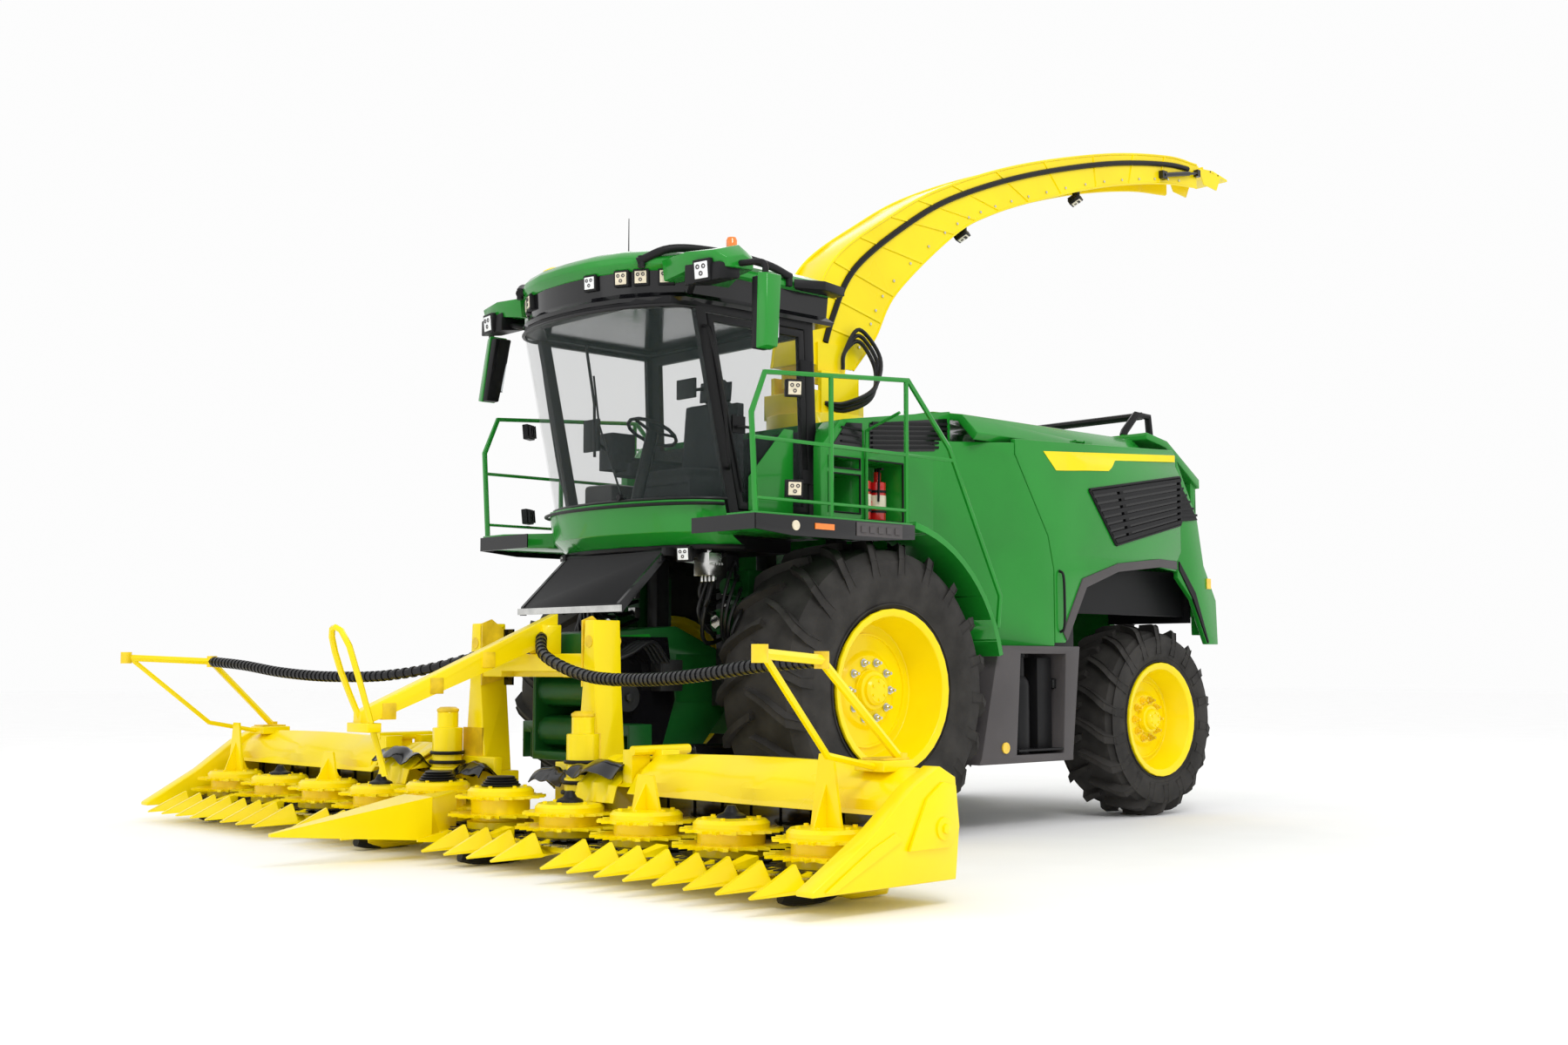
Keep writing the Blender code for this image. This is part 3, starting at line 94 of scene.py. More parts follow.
# %% [markdown]
# ## Making and finishing pieces
# Small helpers save writing the same steps again. Every shape is drawn with y counted from the front
# axle, because that is where the measures of a vehicle start, and is moved to the frame at the end.

# %% Solid shapes
def add_block(bm, low, high):
    """A box between two corners."""
    size, middle = Vector(high) - Vector(low), (Vector(high) + Vector(low)) / 2
    matrix = Matrix.Translation(middle) @ Matrix.Diagonal((*size, 1))
    return bmesh.ops.create_cube(bm, size=1, matrix=matrix)["verts"]


def add_rod(bm, start, end, radius, sides=20, end_radius=None):
    """A round bar or a cone between two points."""
    start, end = Vector(start), Vector(end)
    turn = (end - start).to_track_quat("Z", "Y").to_matrix().to_4x4()
    return bmesh.ops.create_cone(
        bm, cap_ends=True, segments=sides, radius1=radius,
        radius2=radius if end_radius is None else end_radius, depth=(end - start).length,
        matrix=Matrix.Translation((start + end) / 2) @ turn,
    )["verts"]


def ring(axis, height, outline):
    """A flat outline as points in space, set across an axis at a height on it."""
    along = "XYZ".index(axis)
    return [(*point[:along], height, *point[along:]) for point in outline]


def add_plate(bm, axis, outline, low, high):
    """A flat outline pulled into a plate: (y, z) points across X, (x, z) across Y, (x, y) across Z."""
    along = "XYZ".index(axis)
    verts = [bm.verts.new(place) for place in ring(axis, low, outline)]
    face = bm.faces.new(verts)
    pulled = bmesh.ops.extrude_face_region(bm, geom=[face])["geom"]
    top = [item for item in pulled if isinstance(item, bmesh.types.BMVert)]
    shift = Vector((0, 0, 0))
    shift[along] = high - low
    bmesh.ops.translate(bm, verts=top, vec=shift)
    return verts + top


def add_turned(bm, profile, centre, steps):
    """A profile of (radius, height) points spun round an upright axis."""
    before = set(bm.verts)
    line = [bm.verts.new((radius, 0, height)) for radius, height in profile]
    edges = [bm.edges.new(pair) for pair in zip(line, line[1:])]
    bmesh.ops.spin(bm, geom=line + edges, cent=(0, 0, 0), axis=(0, 0, 1), angle=math.tau, steps=steps,
                   use_merge=True)
    made = [v for v in bm.verts if v not in before]
    bmesh.ops.remove_doubles(bm, verts=made, dist=0.0001)
    bmesh.ops.translate(bm, verts=[v for v in bm.verts if v not in before], vec=centre)


def add_loft(bm, rings):
    """A closed skin through rings of points that all have the same count."""
    loops = []
    for ring in rings:
        verts = bmesh.ops.create_circle(bm, cap_ends=False, segments=len(ring), radius=1)["verts"]
        for vert, place in zip(verts, ring):
            vert.co = place
        loops.append(list(dict.fromkeys(edge for vert in verts for edge in vert.link_edges)))
    for a, b in zip(loops, loops[1:]):
        bmesh.ops.bridge_loops(bm, edges=a + b)
    for loop in (loops[0], loops[-1]):
        bmesh.ops.contextual_create(bm, geom=loop)


def thicken(bm, verts, thickness):
    """Gives a sheet of vertices a thickness."""
    faces = list(dict.fromkeys(face for vert in verts for face in vert.link_faces))
    bmesh.ops.recalc_face_normals(bm, faces=faces)
    bmesh.ops.solidify(bm, geom=faces, thickness=thickness)


def smooth_path(points, steps=6):
    """Points on a smooth curve through the given ones."""
    ends = [2 * Vector(points[0]) - Vector(points[1]), 2 * Vector(points[-1]) - Vector(points[-2])]
    knots = [ends[0], *map(Vector, points), ends[1]]
    path = []
    for a, b, c, d in zip(knots, knots[1:], knots[2:], knots[3:]):
        for i in range(steps):
            t = i / steps
            path.append(0.5 * (2 * b + (c - a) * t + (2 * a - 5 * b + 4 * c - d) * t ** 2
                               + (3 * b - a - 3 * c + d) * t ** 3))
    return path + [Vector(points[-1])]


def add_pipe(bm, points, radius, sides=2, closed=False):
    """A pipe along a path, swept by a curve with a round bevel."""
    curve = bpy.data.curves.new("path", "CURVE")
    curve.dimensions, curve.use_fill_caps = "3D", True
    curve.bevel_depth, curve.bevel_resolution = radius, sides
    spline = curve.splines.new("POLY")
    spline.points.add(len(points) - 1)
    for knot, place in zip(spline.points, points):
        knot.co = (*place, 1)
    spline.use_cyclic_u = closed
    holder = bpy.data.objects.new("path", curve)
    mesh = bpy.data.meshes.new_from_object(holder)
    bm.from_mesh(mesh)
    bpy.data.meshes.remove(mesh)
    bpy.data.objects.remove(holder)


def add_hose(bm, points, radius, sides=3, steps=5):
    """A pipe on a smooth curve through a few points."""
    add_pipe(bm, smooth_path(points, steps), radius, sides)


# %% Rounding, mirroring and finishing
def round_edges(bm, width, angle=30, segments=2):
    """Bevels the sharp edges that have room for it."""
    def roomy(edge):
        ends = [other.calc_length() for vert in edge.verts for other in vert.link_edges]
        return min(ends) > 3 * width

    sharp = [e for e in bm.edges if e.is_manifold and e.calc_face_angle() > math.radians(angle) and roomy(e)]
    bmesh.ops.bevel(bm, geom=sharp, offset=width, offset_type="OFFSET", affect="EDGES", segments=segments,
                    profile=0.5, material=-1)


def mirrored(bm):
    """Adds the mirror image on the other side of the machine."""
    copy = bmesh.ops.duplicate(bm, geom=bm.verts[:] + bm.edges[:] + bm.faces[:])["geom"]
    verts = [item for item in copy if isinstance(item, bmesh.types.BMVert)]
    bmesh.ops.scale(bm, vec=(-1, 1, 1), verts=verts)


def finish_piece(name, bm, finish, body, stands_for=(), angle=35, shift=AXLE_Y):
    """Turns a bmesh into a shown piece with its finish, riding on its body."""
    bmesh.ops.translate(bm, verts=bm.verts, vec=(0, shift, 0))
    bmesh.ops.recalc_face_normals(bm, faces=bm.faces)
    mesh = bpy.data.meshes.new(name)
    bm.to_mesh(mesh)
    bm.free()
    mesh.shade_smooth()
    mesh.set_sharp_from_angle(angle=math.radians(angle))
    mesh.materials.append(FINISH[finish][0])
    piece = bpy.data.objects.new(name, mesh)
    bpy.context.scene.collection.objects.link(piece)
    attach(piece, body)
    if stands_for:
        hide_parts(*stands_for)
    return piece


def finish_pair(name, bm, finish, body, angle=35):
    """Finishes a shape drawn on the left and its mirror image as two pieces, each on its side's body."""
    for side, sign in SIDES:
        copy = bm.copy()
        bmesh.ops.scale(copy, vec=(sign, 1, 1), verts=copy.verts)
        finish_piece(f"{name}_{side}", copy, finish, body.format(side), angle=angle)
    bm.free()


def polished(node, finish, width=0.006):
    """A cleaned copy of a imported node: loose triangles joined, flat faces merged, edges softened."""
    bm = bmesh.new()
    bm.from_mesh(frame["nodes"][node].data)
    bmesh.ops.remove_doubles(bm, verts=bm.verts, dist=0.0001)
    bmesh.ops.dissolve_limit(bm, angle_limit=math.radians(1), verts=bm.verts, edges=bm.edges)
    round_edges(bm, width)
    return finish_piece(f"{node}_skin", bm, finish, BODY_OF[node], (node,), shift=0)


# %% [markdown]
# ## Finishes
# Every finish is a small network that reads object coordinates: one noise breaks up the colour, one the
# gloss, and a fine one gives the surface its grain. Paint also gets a clear coat.

# %% Finish maker
FINISH = {}


def add_node(tree, kind, **inputs):
    """A shader node with some of its inputs set; an underscore stands for a space."""
    node = tree.nodes.new(kind)
    set_inputs(node, **inputs)
    return node


def set_inputs(node, **inputs):
    for name, value in inputs.items():
        node.inputs[name.replace("_", " ")].default_value = value


def connect(tree, *links):
    """Joins an output of a node to an input of the next for each (from, output, to, input)."""
    for source, output, target, entry in links:
        tree.links.new(source.outputs[output], target.inputs[entry])


def new_finish(name, slot, colour, roughness, metallic=0.0, patch=0.08, patch_scale=1.5, grain=120.0,
               bump=0.05, rough_swing=0.08, coat=0.0, specular=0.5):
    """Registers a procedural material under a name, with the record's slot that it belongs to."""
    material = bpy.data.materials.new(name)
    material.use_nodes = True
    tree = material.node_tree
    shader = tree.nodes["Principled BSDF"]
    set_inputs(shader, Metallic=metallic, Coat_Weight=coat, Coat_Roughness=0.06, Specular_IOR_Level=specular)
    place = add_node(tree, "ShaderNodeTexCoord")
    cloud = add_node(tree, "ShaderNodeTexNoise", Scale=patch_scale, Detail=5.0)
    fine = add_node(tree, "ShaderNodeTexNoise", Scale=grain, Detail=3.0)
    gloss = add_node(tree, "ShaderNodeMapRange", To_Min=max(0.02, roughness - rough_swing),
                     To_Max=roughness + rough_swing)
    relief = add_node(tree, "ShaderNodeBump", Strength=bump, Distance=0.002)
    tint = add_node(tree, "ShaderNodeValToRGB")
    for element, position, swing in zip(tint.color_ramp.elements, (0.35, 0.65), (1 - patch, 1 + patch)):
        element.position = position
        element.color = (*[min(1, c * swing) for c in colour], 1)
    connect(tree, (place, "Object", cloud, "Vector"), (place, "Object", fine, "Vector"),
            (cloud, "Fac", tint, "Fac"), (tint, "Color", shader, "Base Color"),
            (cloud, "Fac", gloss, "Value"), (gloss, "Result", shader, "Roughness"),
            (fine, "Fac", relief, "Height"), (relief, "Normal", shader, "Normal"))
    FINISH[name] = (material, slot)
    return material


new_finish("green_gloss", "green_paint", (0.012, 0.250, 0.022), 0.24, patch=0.07, grain=160, bump=0.03,
           coat=0.35, specular=0.3)
# A darker copy of the green paint: painted shade for the axles, feed house and valve blocks that sit in shadow.
new_finish("green_painted_shade", "green_paint", (0.006, 0.085, 0.014), 0.36, patch=0.2, grain=60, bump=0.15,
           specular=0.3)
new_finish("yellow_gloss", "yellow_paint", (1.0, 0.76, 0.0), 0.30, patch=0.05, grain=140, bump=0.04, coat=0.2,
           specular=0.25)
new_finish("yellow_worn", "yellow_paint", (0.86, 0.58, 0.01), 0.42, patch=0.22, patch_scale=7, grain=70,
           bump=0.2)
new_finish("black_moulding", "black_plastic", (0.010, 0.010, 0.011), 0.42, patch=0.2, grain=320, bump=0.22,
           specular=0.2)
new_finish("black_gloss", "black_plastic", (0.005, 0.005, 0.006), 0.14, patch=0.2, grain=200, bump=0.02,
           coat=0.15, specular=0.4)
new_finish("grey_moulding", "grey_plastic", (0.085, 0.078, 0.080), 0.46, patch=0.10, grain=260, bump=0.3,
           specular=0.25)
new_finish("cast_steel", "dark_steel", (0.030, 0.031, 0.032), 0.42, 0.4, patch=0.25, patch_scale=6, grain=80,
           bump=0.3, specular=0.3)
new_finish("bright_steel", "dark_steel", (0.62, 0.62, 0.60), 0.22, 1.0, patch=0.12, patch_scale=9, grain=200,
           bump=0.06)
new_finish("red_gloss", "red_paint", (0.62, 0.012, 0.012), 0.2, patch=0.06, grain=160, bump=0.03, coat=0.6)
new_finish("seat_cloth", "seat_fabric", (0.030, 0.030, 0.034), 0.88, patch=0.25, patch_scale=30, grain=500,
           bump=0.12)
new_finish("tread_rubber", "tyre_rubber", (0.030, 0.028, 0.026), 0.70, patch=0.35, patch_scale=5, grain=90,
           bump=0.35, specular=0.25)
new_finish("hose_rubber", "black_plastic", (0.008, 0.008, 0.009), 0.36, patch=0.2, grain=200, bump=0.15,
           specular=0.35)
new_finish("lamp_glass", "cab_glass", (0.92, 0.94, 0.95), 0.08, patch=0.05, patch_scale=40, grain=90,
           bump=0.25, coat=1.0)
LENSES = {"beige_lens": ((0.78, 0.70, 0.52), 0.16), "amber_lens": ((0.95, 0.22, 0.01), 0.14),
          "red_lens": ((0.55, 0.01, 0.01), 0.14), "yellow_lens": ((0.95, 0.60, 0.02), 0.18)}
for name, (colour, roughness) in LENSES.items():
    new_finish(name, "cab_glass", colour, roughness, patch_scale=40, grain=90, bump=0.2, coat=0.8)
new_finish("mirror_glass", "cab_glass", (0.80, 0.84, 0.86), 0.04, 1.0, patch=0.03, grain=40, bump=0.0,
           rough_swing=0.01)
print("finishes", len(FINISH))

# %% Tinted cab glass
glass = bpy.data.materials.new("tinted_glass")
glass.use_nodes = True
clear = glass.node_tree.nodes["Principled BSDF"]
set_inputs(clear, Base_Color=(0.06, 0.09, 0.085, 1), IOR=1.45, Alpha=0.10)
film = add_node(glass.node_tree, "ShaderNodeTexNoise", Scale=2.0)
film_gloss = add_node(glass.node_tree, "ShaderNodeMapRange", To_Min=0.02, To_Max=0.07)
glass_place = add_node(glass.node_tree, "ShaderNodeTexCoord")
connect(glass.node_tree, (glass_place, "Object", film, "Vector"), (film, "Fac", film_gloss, "Value"),
        (film_gloss, "Result", clear, "Roughness"))
FINISH["tinted_glass"] = (glass, "cab_glass")

# %% Floor
floor_paint = new_finish("pale_floor", "cab_glass", (0.99, 0.99, 0.99), 0.7, patch=0.01, grain=3, bump=0.01)
bm = bmesh.new()
bmesh.ops.create_grid(bm, x_segments=2, y_segments=2, size=70)
floor_mesh = bpy.data.meshes.new("floor")
bm.to_mesh(floor_mesh)
bm.free()
floor_mesh.materials.append(floor_paint)
floor = bpy.data.objects.new("floor", floor_mesh)
bpy.context.scene.collection.objects.link(floor)

# %% [markdown]
# ## Cleaned panels
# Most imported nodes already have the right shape, so a cleaned copy with softened edges stands for each. A
# name that ends in an underscore has a left and a right one.

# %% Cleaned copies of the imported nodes
POLISH = {
    "green_gloss": "service_body_ side_panel_ engine_hood rear_body nose_fairing walkway_",
    # The axles and the feed house take the darker green, which is painted shade.
    "green_painted_shade": "front_axle rear_axle feeder_housing",
    "yellow_gloss": "front_left_rim front_right_rim rear_left_rim rear_right_rim header_frame header_wing_ "
                    "centre_arm crop_guide_ spout_turntable spout_boom spout_flap",
    "black_moulding": "cab_frame cab_door steering_column intake_cover",
    "black_gloss": "lift_barrel_",
    "grey_moulding": "lower_box_",
    "cast_steel": "chassis_frame engine_block knuckle_",
    "bright_steel": "lift_rod_",
    "red_gloss": "fire_extinguishers",
    "tinted_glass": "door_glass side_window_right rear_window windscreen",
    "seat_cloth": "operator_seat",
}
cleaned = 0
for finish, names in POLISH.items():
    for name in names.split():
        for side in ("left", "right") if name.endswith("_") else ("",):
            polished(name + side, finish, 0.003 if finish in ("tinted_glass", "bright_steel") else 0.007)
            cleaned += 1
print("cleaned", cleaned)

# %% [markdown]
# ## Tyres
# A farm tyre is a smooth carcass with two rows of slanted bars that meet at the middle and wrap over the
# shoulder. The carcass is a spun profile; one bar is a bent block that is copied round the wheel.


# %% Tyre carcass and tread bars
def mount_wheel(bm, centre):
    """Turns a shape made about the upright axis so that its top faces outwards at a wheel's centre."""
    turn = Vector((math.copysign(1, centre[0]), 0, 0)).to_track_quat("Z", "Y").to_matrix().to_4x4()
    bmesh.ops.transform(bm, matrix=Matrix.Translation(centre) @ turn, verts=bm.verts)


def tyre(name, node, centre, radius, width, rim_radius, bars):
    """A carcass with treads on both shoulders, in place of a plain tyre node."""
    half = width / 2
    wall = radius - rim_radius
    bead = [(rim_radius + 0.004, 0.40 * width), (rim_radius + 0.03, 0.43 * width)]
    flank = [(rim_radius + share * wall, out * width)
             for share, out in ((0.10, 0.445), (0.30, 0.485), (0.52, 0.497), (0.70, 0.48))]
    crown = [(radius - depth, out * width)
             for depth, out in ((0.12, 0.445), (0.075, 0.39), (0.060, 0.25), (0.055, 0))]
    profile = bead + flank + crown
    profile += [(r, -h) for r, h in reversed(profile[:-1])]
    bm = bmesh.new()
    add_turned(bm, profile + [profile[0]], (0, 0, 0), 72)
    for i, side in ((0, 1), (0.5, -1)):
        bar = bmesh.new()
        bmesh.ops.create_cube(bar, size=1)
        long_edges = [e for e in bar.edges if abs(e.verts[0].co.x - e.verts[1].co.x) > 0.5]
        bmesh.ops.subdivide_edges(bar, edges=long_edges, cuts=6)
        for vert in bar.verts:
            share = vert.co.x + 0.5
            across = side * (-0.01 + share * (half + 0.005))
            along = 0.34 * half * share + 0.30 * half * share ** 2
            thick = 0.030 + 0.018 * share
            drop = 0.010 * share + 0.15 * max(0, share - 0.82) ** 1.2 * 6
            foot = radius - 0.075 - 0.35 * max(0, share - 0.75)
            top = vert.co.z > 0
            out = radius - 0.002 - drop if top else foot - drop * 0.6
            slant = thick * 0.72 if top else thick
            angle = (along + math.copysign(slant, vert.co.y)) / radius
            vert.co = (out * math.cos(angle), out * math.sin(angle), across)
        round_edges(bar, 0.006, 25, 1)
        bmesh.ops.rotate(bar, verts=bar.verts, matrix=Matrix.Rotation(i * math.tau / bars, 3, "Z"))
        block = bar.verts[:] + bar.edges[:] + bar.faces[:]
        bmesh.ops.spin(bar, geom=block, cent=(0, 0, 0), axis=(0, 0, 1), angle=math.tau * (bars - 1) / bars,
                       steps=bars - 1, use_duplicate=True)
        mesh = bpy.data.meshes.new("bars")
        bmesh.ops.recalc_face_normals(bar, faces=bar.faces)
        bar.to_mesh(mesh)
        bar.free()
        bm.from_mesh(mesh)
        bpy.data.meshes.remove(mesh)
    for share, out in ((0.24, 0.462), (0.12, 0.455)):
        r, foot, top = rim_radius + share * wall, out * width - 0.01, out * width + 0.008
        line = [(r - 0.006, foot), (r - 0.004, top), (r + 0.004, top), (r + 0.006, foot)]
        add_turned(bm, line, (0, 0, 0), 72)
    mount_wheel(bm, centre)
    return finish_piece(name, bm, "tread_rubber", BODY_OF[node], (node,), 30)


WHEELS = {
    "front": (0.0, 1.20, 1.063, 0.80, 0.545, 20),
    "rear": (3.29, 1.26, 0.793, 0.58, 0.44, 18),
}
for end, (y, x, radius, width, rim_radius, bars) in WHEELS.items():
    for side, sign in SIDES:
        made = tyre(f"{end}_{side}_tread", f"{end}_{side}_tyre", (sign * x, y, radius),
                    radius, width, rim_radius, bars)
        print(made.name, len(made.data.polygons), "faces")


# %% [markdown]
# ## Wheel centres
# Ten studs with nuts hold each rim to its hub. The hub cap stands proud of the disc, and a raised ring runs
# round the nuts.

# %% Nuts, hub cap and ring
STUDS = 10


def wheel_centre(end, side, centre, disc, hub):
    """Nuts on a circle, a cap and a raised ring, from the height of the rim's disc and the hub's radius."""
    bm = bmesh.new()
    face = disc + 0.03
    for i in range(STUDS):
        a = math.tau * i / STUDS
        spot = Vector((math.cos(a) * hub * 0.82, math.sin(a) * hub * 0.82, 0))
        add_rod(bm, spot + Vector((0, 0, face - 0.01)), spot + Vector((0, 0, face + 0.035)), 0.021, 6)
        add_rod(bm, spot + Vector((0, 0, face + 0.03)), spot + Vector((0, 0, face + 0.062)), 0.011, 10)
        add_rod(bm, spot + Vector((0, 0, face - 0.01)), spot + Vector((0, 0, face + 0.012)), 0.030, 16)
    mount_wheel(bm, centre)
    nut_finish = "bright_steel" if end == "front" else "yellow_worn"
    finish_piece(f"{end}_{side}_nuts", bm, nut_finish, f"{end}_wheel_{side}")
    bm = bmesh.new()
    cap = [(0, face + 0.10), (hub * 0.34, face + 0.098), (hub * 0.42, face + 0.08), (hub * 0.46, face + 0.03),
           (hub * 0.60, face + 0.022), (hub * 0.62, face - 0.01), (0, face - 0.01)]
    add_turned(bm, cap, (0, 0, 0), 40)
    for i in range(6):
        a = math.tau * (i + 0.5) / 6
        spot = Vector((math.cos(a) * hub * 0.26, math.sin(a) * hub * 0.26, face + 0.09))
        add_rod(bm, spot, spot + Vector((0, 0, 0.018)), 0.010, 6)
    add_turned(bm, [(hub * 1.55, disc - 0.02), (hub * 1.56, disc + 0.004), (hub * 1.62, disc + 0.004),
                    (hub * 1.63, disc - 0.02)], (0, 0, 0), 56)
    mount_wheel(bm, centre)
    finish_piece(f"{end}_{side}_hub_cap", bm, "yellow_gloss", f"{end}_wheel_{side}")


for end, disc, hub in (("front", 0.10, 0.25), ("rear", 0.09, 0.20)):
    y, x, radius = WHEELS[end][:3]
    for side, sign in SIDES:
        wheel_centre(end, side, (sign * x, y, radius), disc, hub)


# %% [markdown]
# ## Rotors
# Each rotor is a stack: a fast blade disc at the bottom, two carrier discs with hooked fingers that hold
# the stalks, and a drum with a cap. A hooked edge is a circle whose every second point is pulled out and
# turned on, so it takes one loop.


# %% Toothed disc
def add_toothed(bm, centre, inner, outer, teeth, low, high, lean=0.5):
    """A disc between two heights whose rim has hooked teeth."""
    ring = bmesh.ops.create_circle(bm, cap_ends=True, segments=teeth * 3, radius=inner)["verts"]
    for vert in ring:
        a = math.atan2(vert.co.y, vert.co.x) % math.tau
        place = round(a / math.tau * teeth * 3) % 3
        if place == 1:
            a += lean * math.tau / (teeth * 3)
            vert.co.x, vert.co.y = outer * math.cos(a), outer * math.sin(a)
    face = ring[0].link_faces[0]
    pulled = bmesh.ops.extrude_face_region(bm, geom=[face])["geom"]
    top = [item for item in pulled if isinstance(item, bmesh.types.BMVert)]
    bmesh.ops.translate(bm, verts=top, vec=(0, 0, high - low))
    bmesh.ops.translate(bm, verts=ring + top, vec=Vector(centre) + Vector((0, 0, low)))


# %% Rotor stacks
ROTOR_Y, ROTOR_R = -2.46, 0.34
FINS = {3: (0.13, 0.60, 0.07, 0.55), 5: (0.115, 0.779, 0.05, 0.62)}
for side, sign in SIDES:
    for i in range(1, 6):
        x = sign * ROW_PITCH * (i - 0.5)
        node, spot = f"rotor_{side}_{i}", (x, ROTOR_Y, 0)
        lift = 0.06 if i == 1 else 0.0
        bm = bmesh.new()
        add_toothed(bm, spot, ROTOR_R - 0.065, ROTOR_R - 0.004, 30, 0.190, 0.198)
        finish_piece(f"{node}_blades", bm, "cast_steel", BODY_OF[node])
        bm = bmesh.new()
        add_toothed(bm, spot, ROTOR_R - 0.070, ROTOR_R - 0.002, 26, 0.245 + lift / 2, 0.262 + lift / 2, 0.8)
        add_toothed(bm, spot, 0.245, 0.292, 22, 0.328 + lift, 0.345 + lift, 0.8)
        drum = [(0, 0.180), (0.20, 0.180), (0.215, 0.195), (0.215, 0.24), (0.19, 0.25)]
        drum += [(r, z + lift) for r, z in ((0.19, 0.32), (0.215, 0.33), (0.215, 0.375), (0.195, 0.395),
                                            (0.10, 0.40), (0, 0.40))]
        add_turned(bm, drum, spot, 36)
        for a in (math.tau * k / 6 for k in range(6)):
            nut = Vector(spot) + Vector((0.155 * math.cos(a), 0.155 * math.sin(a), 0.39 + lift))
            add_rod(bm, nut, nut + Vector((0, 0, 0.018)), 0.014, 6)
        finish_piece(f"{node}_stack", bm, "yellow_gloss", BODY_OF[node], (node,))
        bm = bmesh.new()
        if i in FINS:
            half, top, tip, side_top = FINS[i]
            add_plate(bm, "Y", [(x - half, 0.395), (x + half, 0.395), (x + tip, top), (x - tip, top)],
                      ROTOR_Y - 0.008, ROTOR_Y + 0.008)
            add_plate(bm, "X", [(ROTOR_Y - 0.10, 0.395), (ROTOR_Y + 0.10, 0.395), (ROTOR_Y + 0.01, side_top),
                                (ROTOR_Y - 0.01, side_top)], x - 0.006, x + 0.006)
        elif i == 1:
            for k in range(4):
                low, r = 0.402 + lift + 0.016 * k, 0.13 - 0.012 * k
                add_turned(bm, [(0, low), (r - 0.005, low), (r, low + 0.008), (r - 0.01, low + 0.014),
                                (0, low + 0.014)], spot, 28)
        else:
            knob = [(0, 0.40), (0.085, 0.40), (0.080, 0.415), (0.045, 0.43), (0.022, 0.468), (0, 0.47)]
            add_turned(bm, knob, spot, 24)
        finish_piece(f"{node}_cap", bm, "yellow_gloss" if i in FINS else "black_moulding", BODY_OF[node])
print("rotors", 10)

# %% [markdown]
# ## Header covers, mats and knives
# Moulded yellow covers close the gap behind the rotors, black rubber mats keep the crop off the drums, and
# a strip of fixed knives runs under the rotors' front edge between the crop dividers.

# %% Moulded covers behind the rotors
def add_cover(bm, x_low, x_high, rows, bulge):
    """A crowned sheet from x to x that follows (y, z) rows, higher in the middle of each metre."""
    made = bmesh.ops.create_grid(bm, x_segments=20, y_segments=len(rows) - 1, size=0.5)["verts"]
    for vert in made:
        u, k = vert.co.x + 0.5, round((vert.co.y + 0.5) * (len(rows) - 1))
        y, z = rows[k]
        x = x_low + (x_high - x_low) * u
        crown = bulge * math.sin(math.pi * u) ** 0.6 * math.sin(math.pi * k / (len(rows) - 1)) ** 0.5
        swell = 0.018 * math.sin(5 * math.pi * u) * (k in (1, 2))
        vert.co = (x, y - swell, z + crown)
    thicken(bm, made, 0.012)


bm = bmesh.new()
add_cover(bm, 1.56, 3.70, [(-2.30, 0.46), (-2.29, 0.53), (-2.23, 0.61), (-2.12, 0.69), (-2.0, 0.69),
                           (-1.96, 0.64)], 0.03)
finish_pair("wing_cover", bm, "yellow_gloss", "wing_{}")
bm = bmesh.new()
add_cover(bm, 1.00, 1.40, [(-2.34, 0.40), (-2.31, 0.50), (-2.20, 0.585), (-2.05, 0.665), (-1.965, 0.672)],
          0.02)
finish_pair("middle_cover", bm, "yellow_gloss", "header")


# %% Rubber mats over the drums
def crumple(vert, size):
    """Moves a vertex a little with smooth noise, the same on each run."""
    shift = noise.noise_vector(vert.co * 7.0)
    vert.co += Vector((0.3 * shift.x, 0.5 * shift.y, shift.z)) * size


noise.seed_set(7)
bm = bmesh.new()
for x_low, x_high, y, z in ((0.93, 1.42, -2.36, 0.50), (0.30, 0.66, -2.20, 0.42)):
    made = bmesh.ops.create_grid(bm, x_segments=22, y_segments=14, size=0.5)["verts"]
    for vert in made:
        u, v = vert.co.x + 0.5, vert.co.y + 0.5
        arch = 0.16 * math.sin(math.pi * min(1, 0.15 + v)) * (0.7 + 0.3 * math.sin(math.pi * u))
        vert.co = (x_low + (x_high - x_low) * u, y + 0.26 * v, z + arch)
        crumple(vert, 0.045)
    thicken(bm, made, 0.008)
finish_pair("drum_mats", bm, "black_gloss", "header", angle=60)

# %% Ridged snouts and crop channel
def add_snout(bm, x):
    """A crop divider between two rows: a tray that widens under a ridge and ends in a point."""
    rings = []
    for y, half, low, high in ((-2.60, 0.05, 0.12, 0.165), (-2.80, 0.088, 0.11, 0.168),
                               (-2.815, 0.088, 0.105, 0.245), (-3.12, 0.006, 0.092, 0.102)):
        side = low + 0.2 * (high - low)
        outline = [(-half, low), (half, low), (half, side), (0.012, high), (-0.012, high), (-half, side)]
        rings.append(ring("Y", y, [(x + across, z) for across, z in outline]))
    add_loft(bm, rings)


bm = bmesh.new()
for i in range(2, 6):
    add_snout(bm, SNOUT_PITCH * i)
mirrored(bm)
round_edges(bm, 0.004)
finish_piece("middle_snouts", bm, "yellow_gloss", "header")
bm = bmesh.new()
for i in range(1, 9):
    add_snout(bm, 2 * ROW_PITCH + SNOUT_PITCH * i)
round_edges(bm, 0.004)
finish_pair("wing_snouts", bm, "yellow_gloss", "wing_{}")
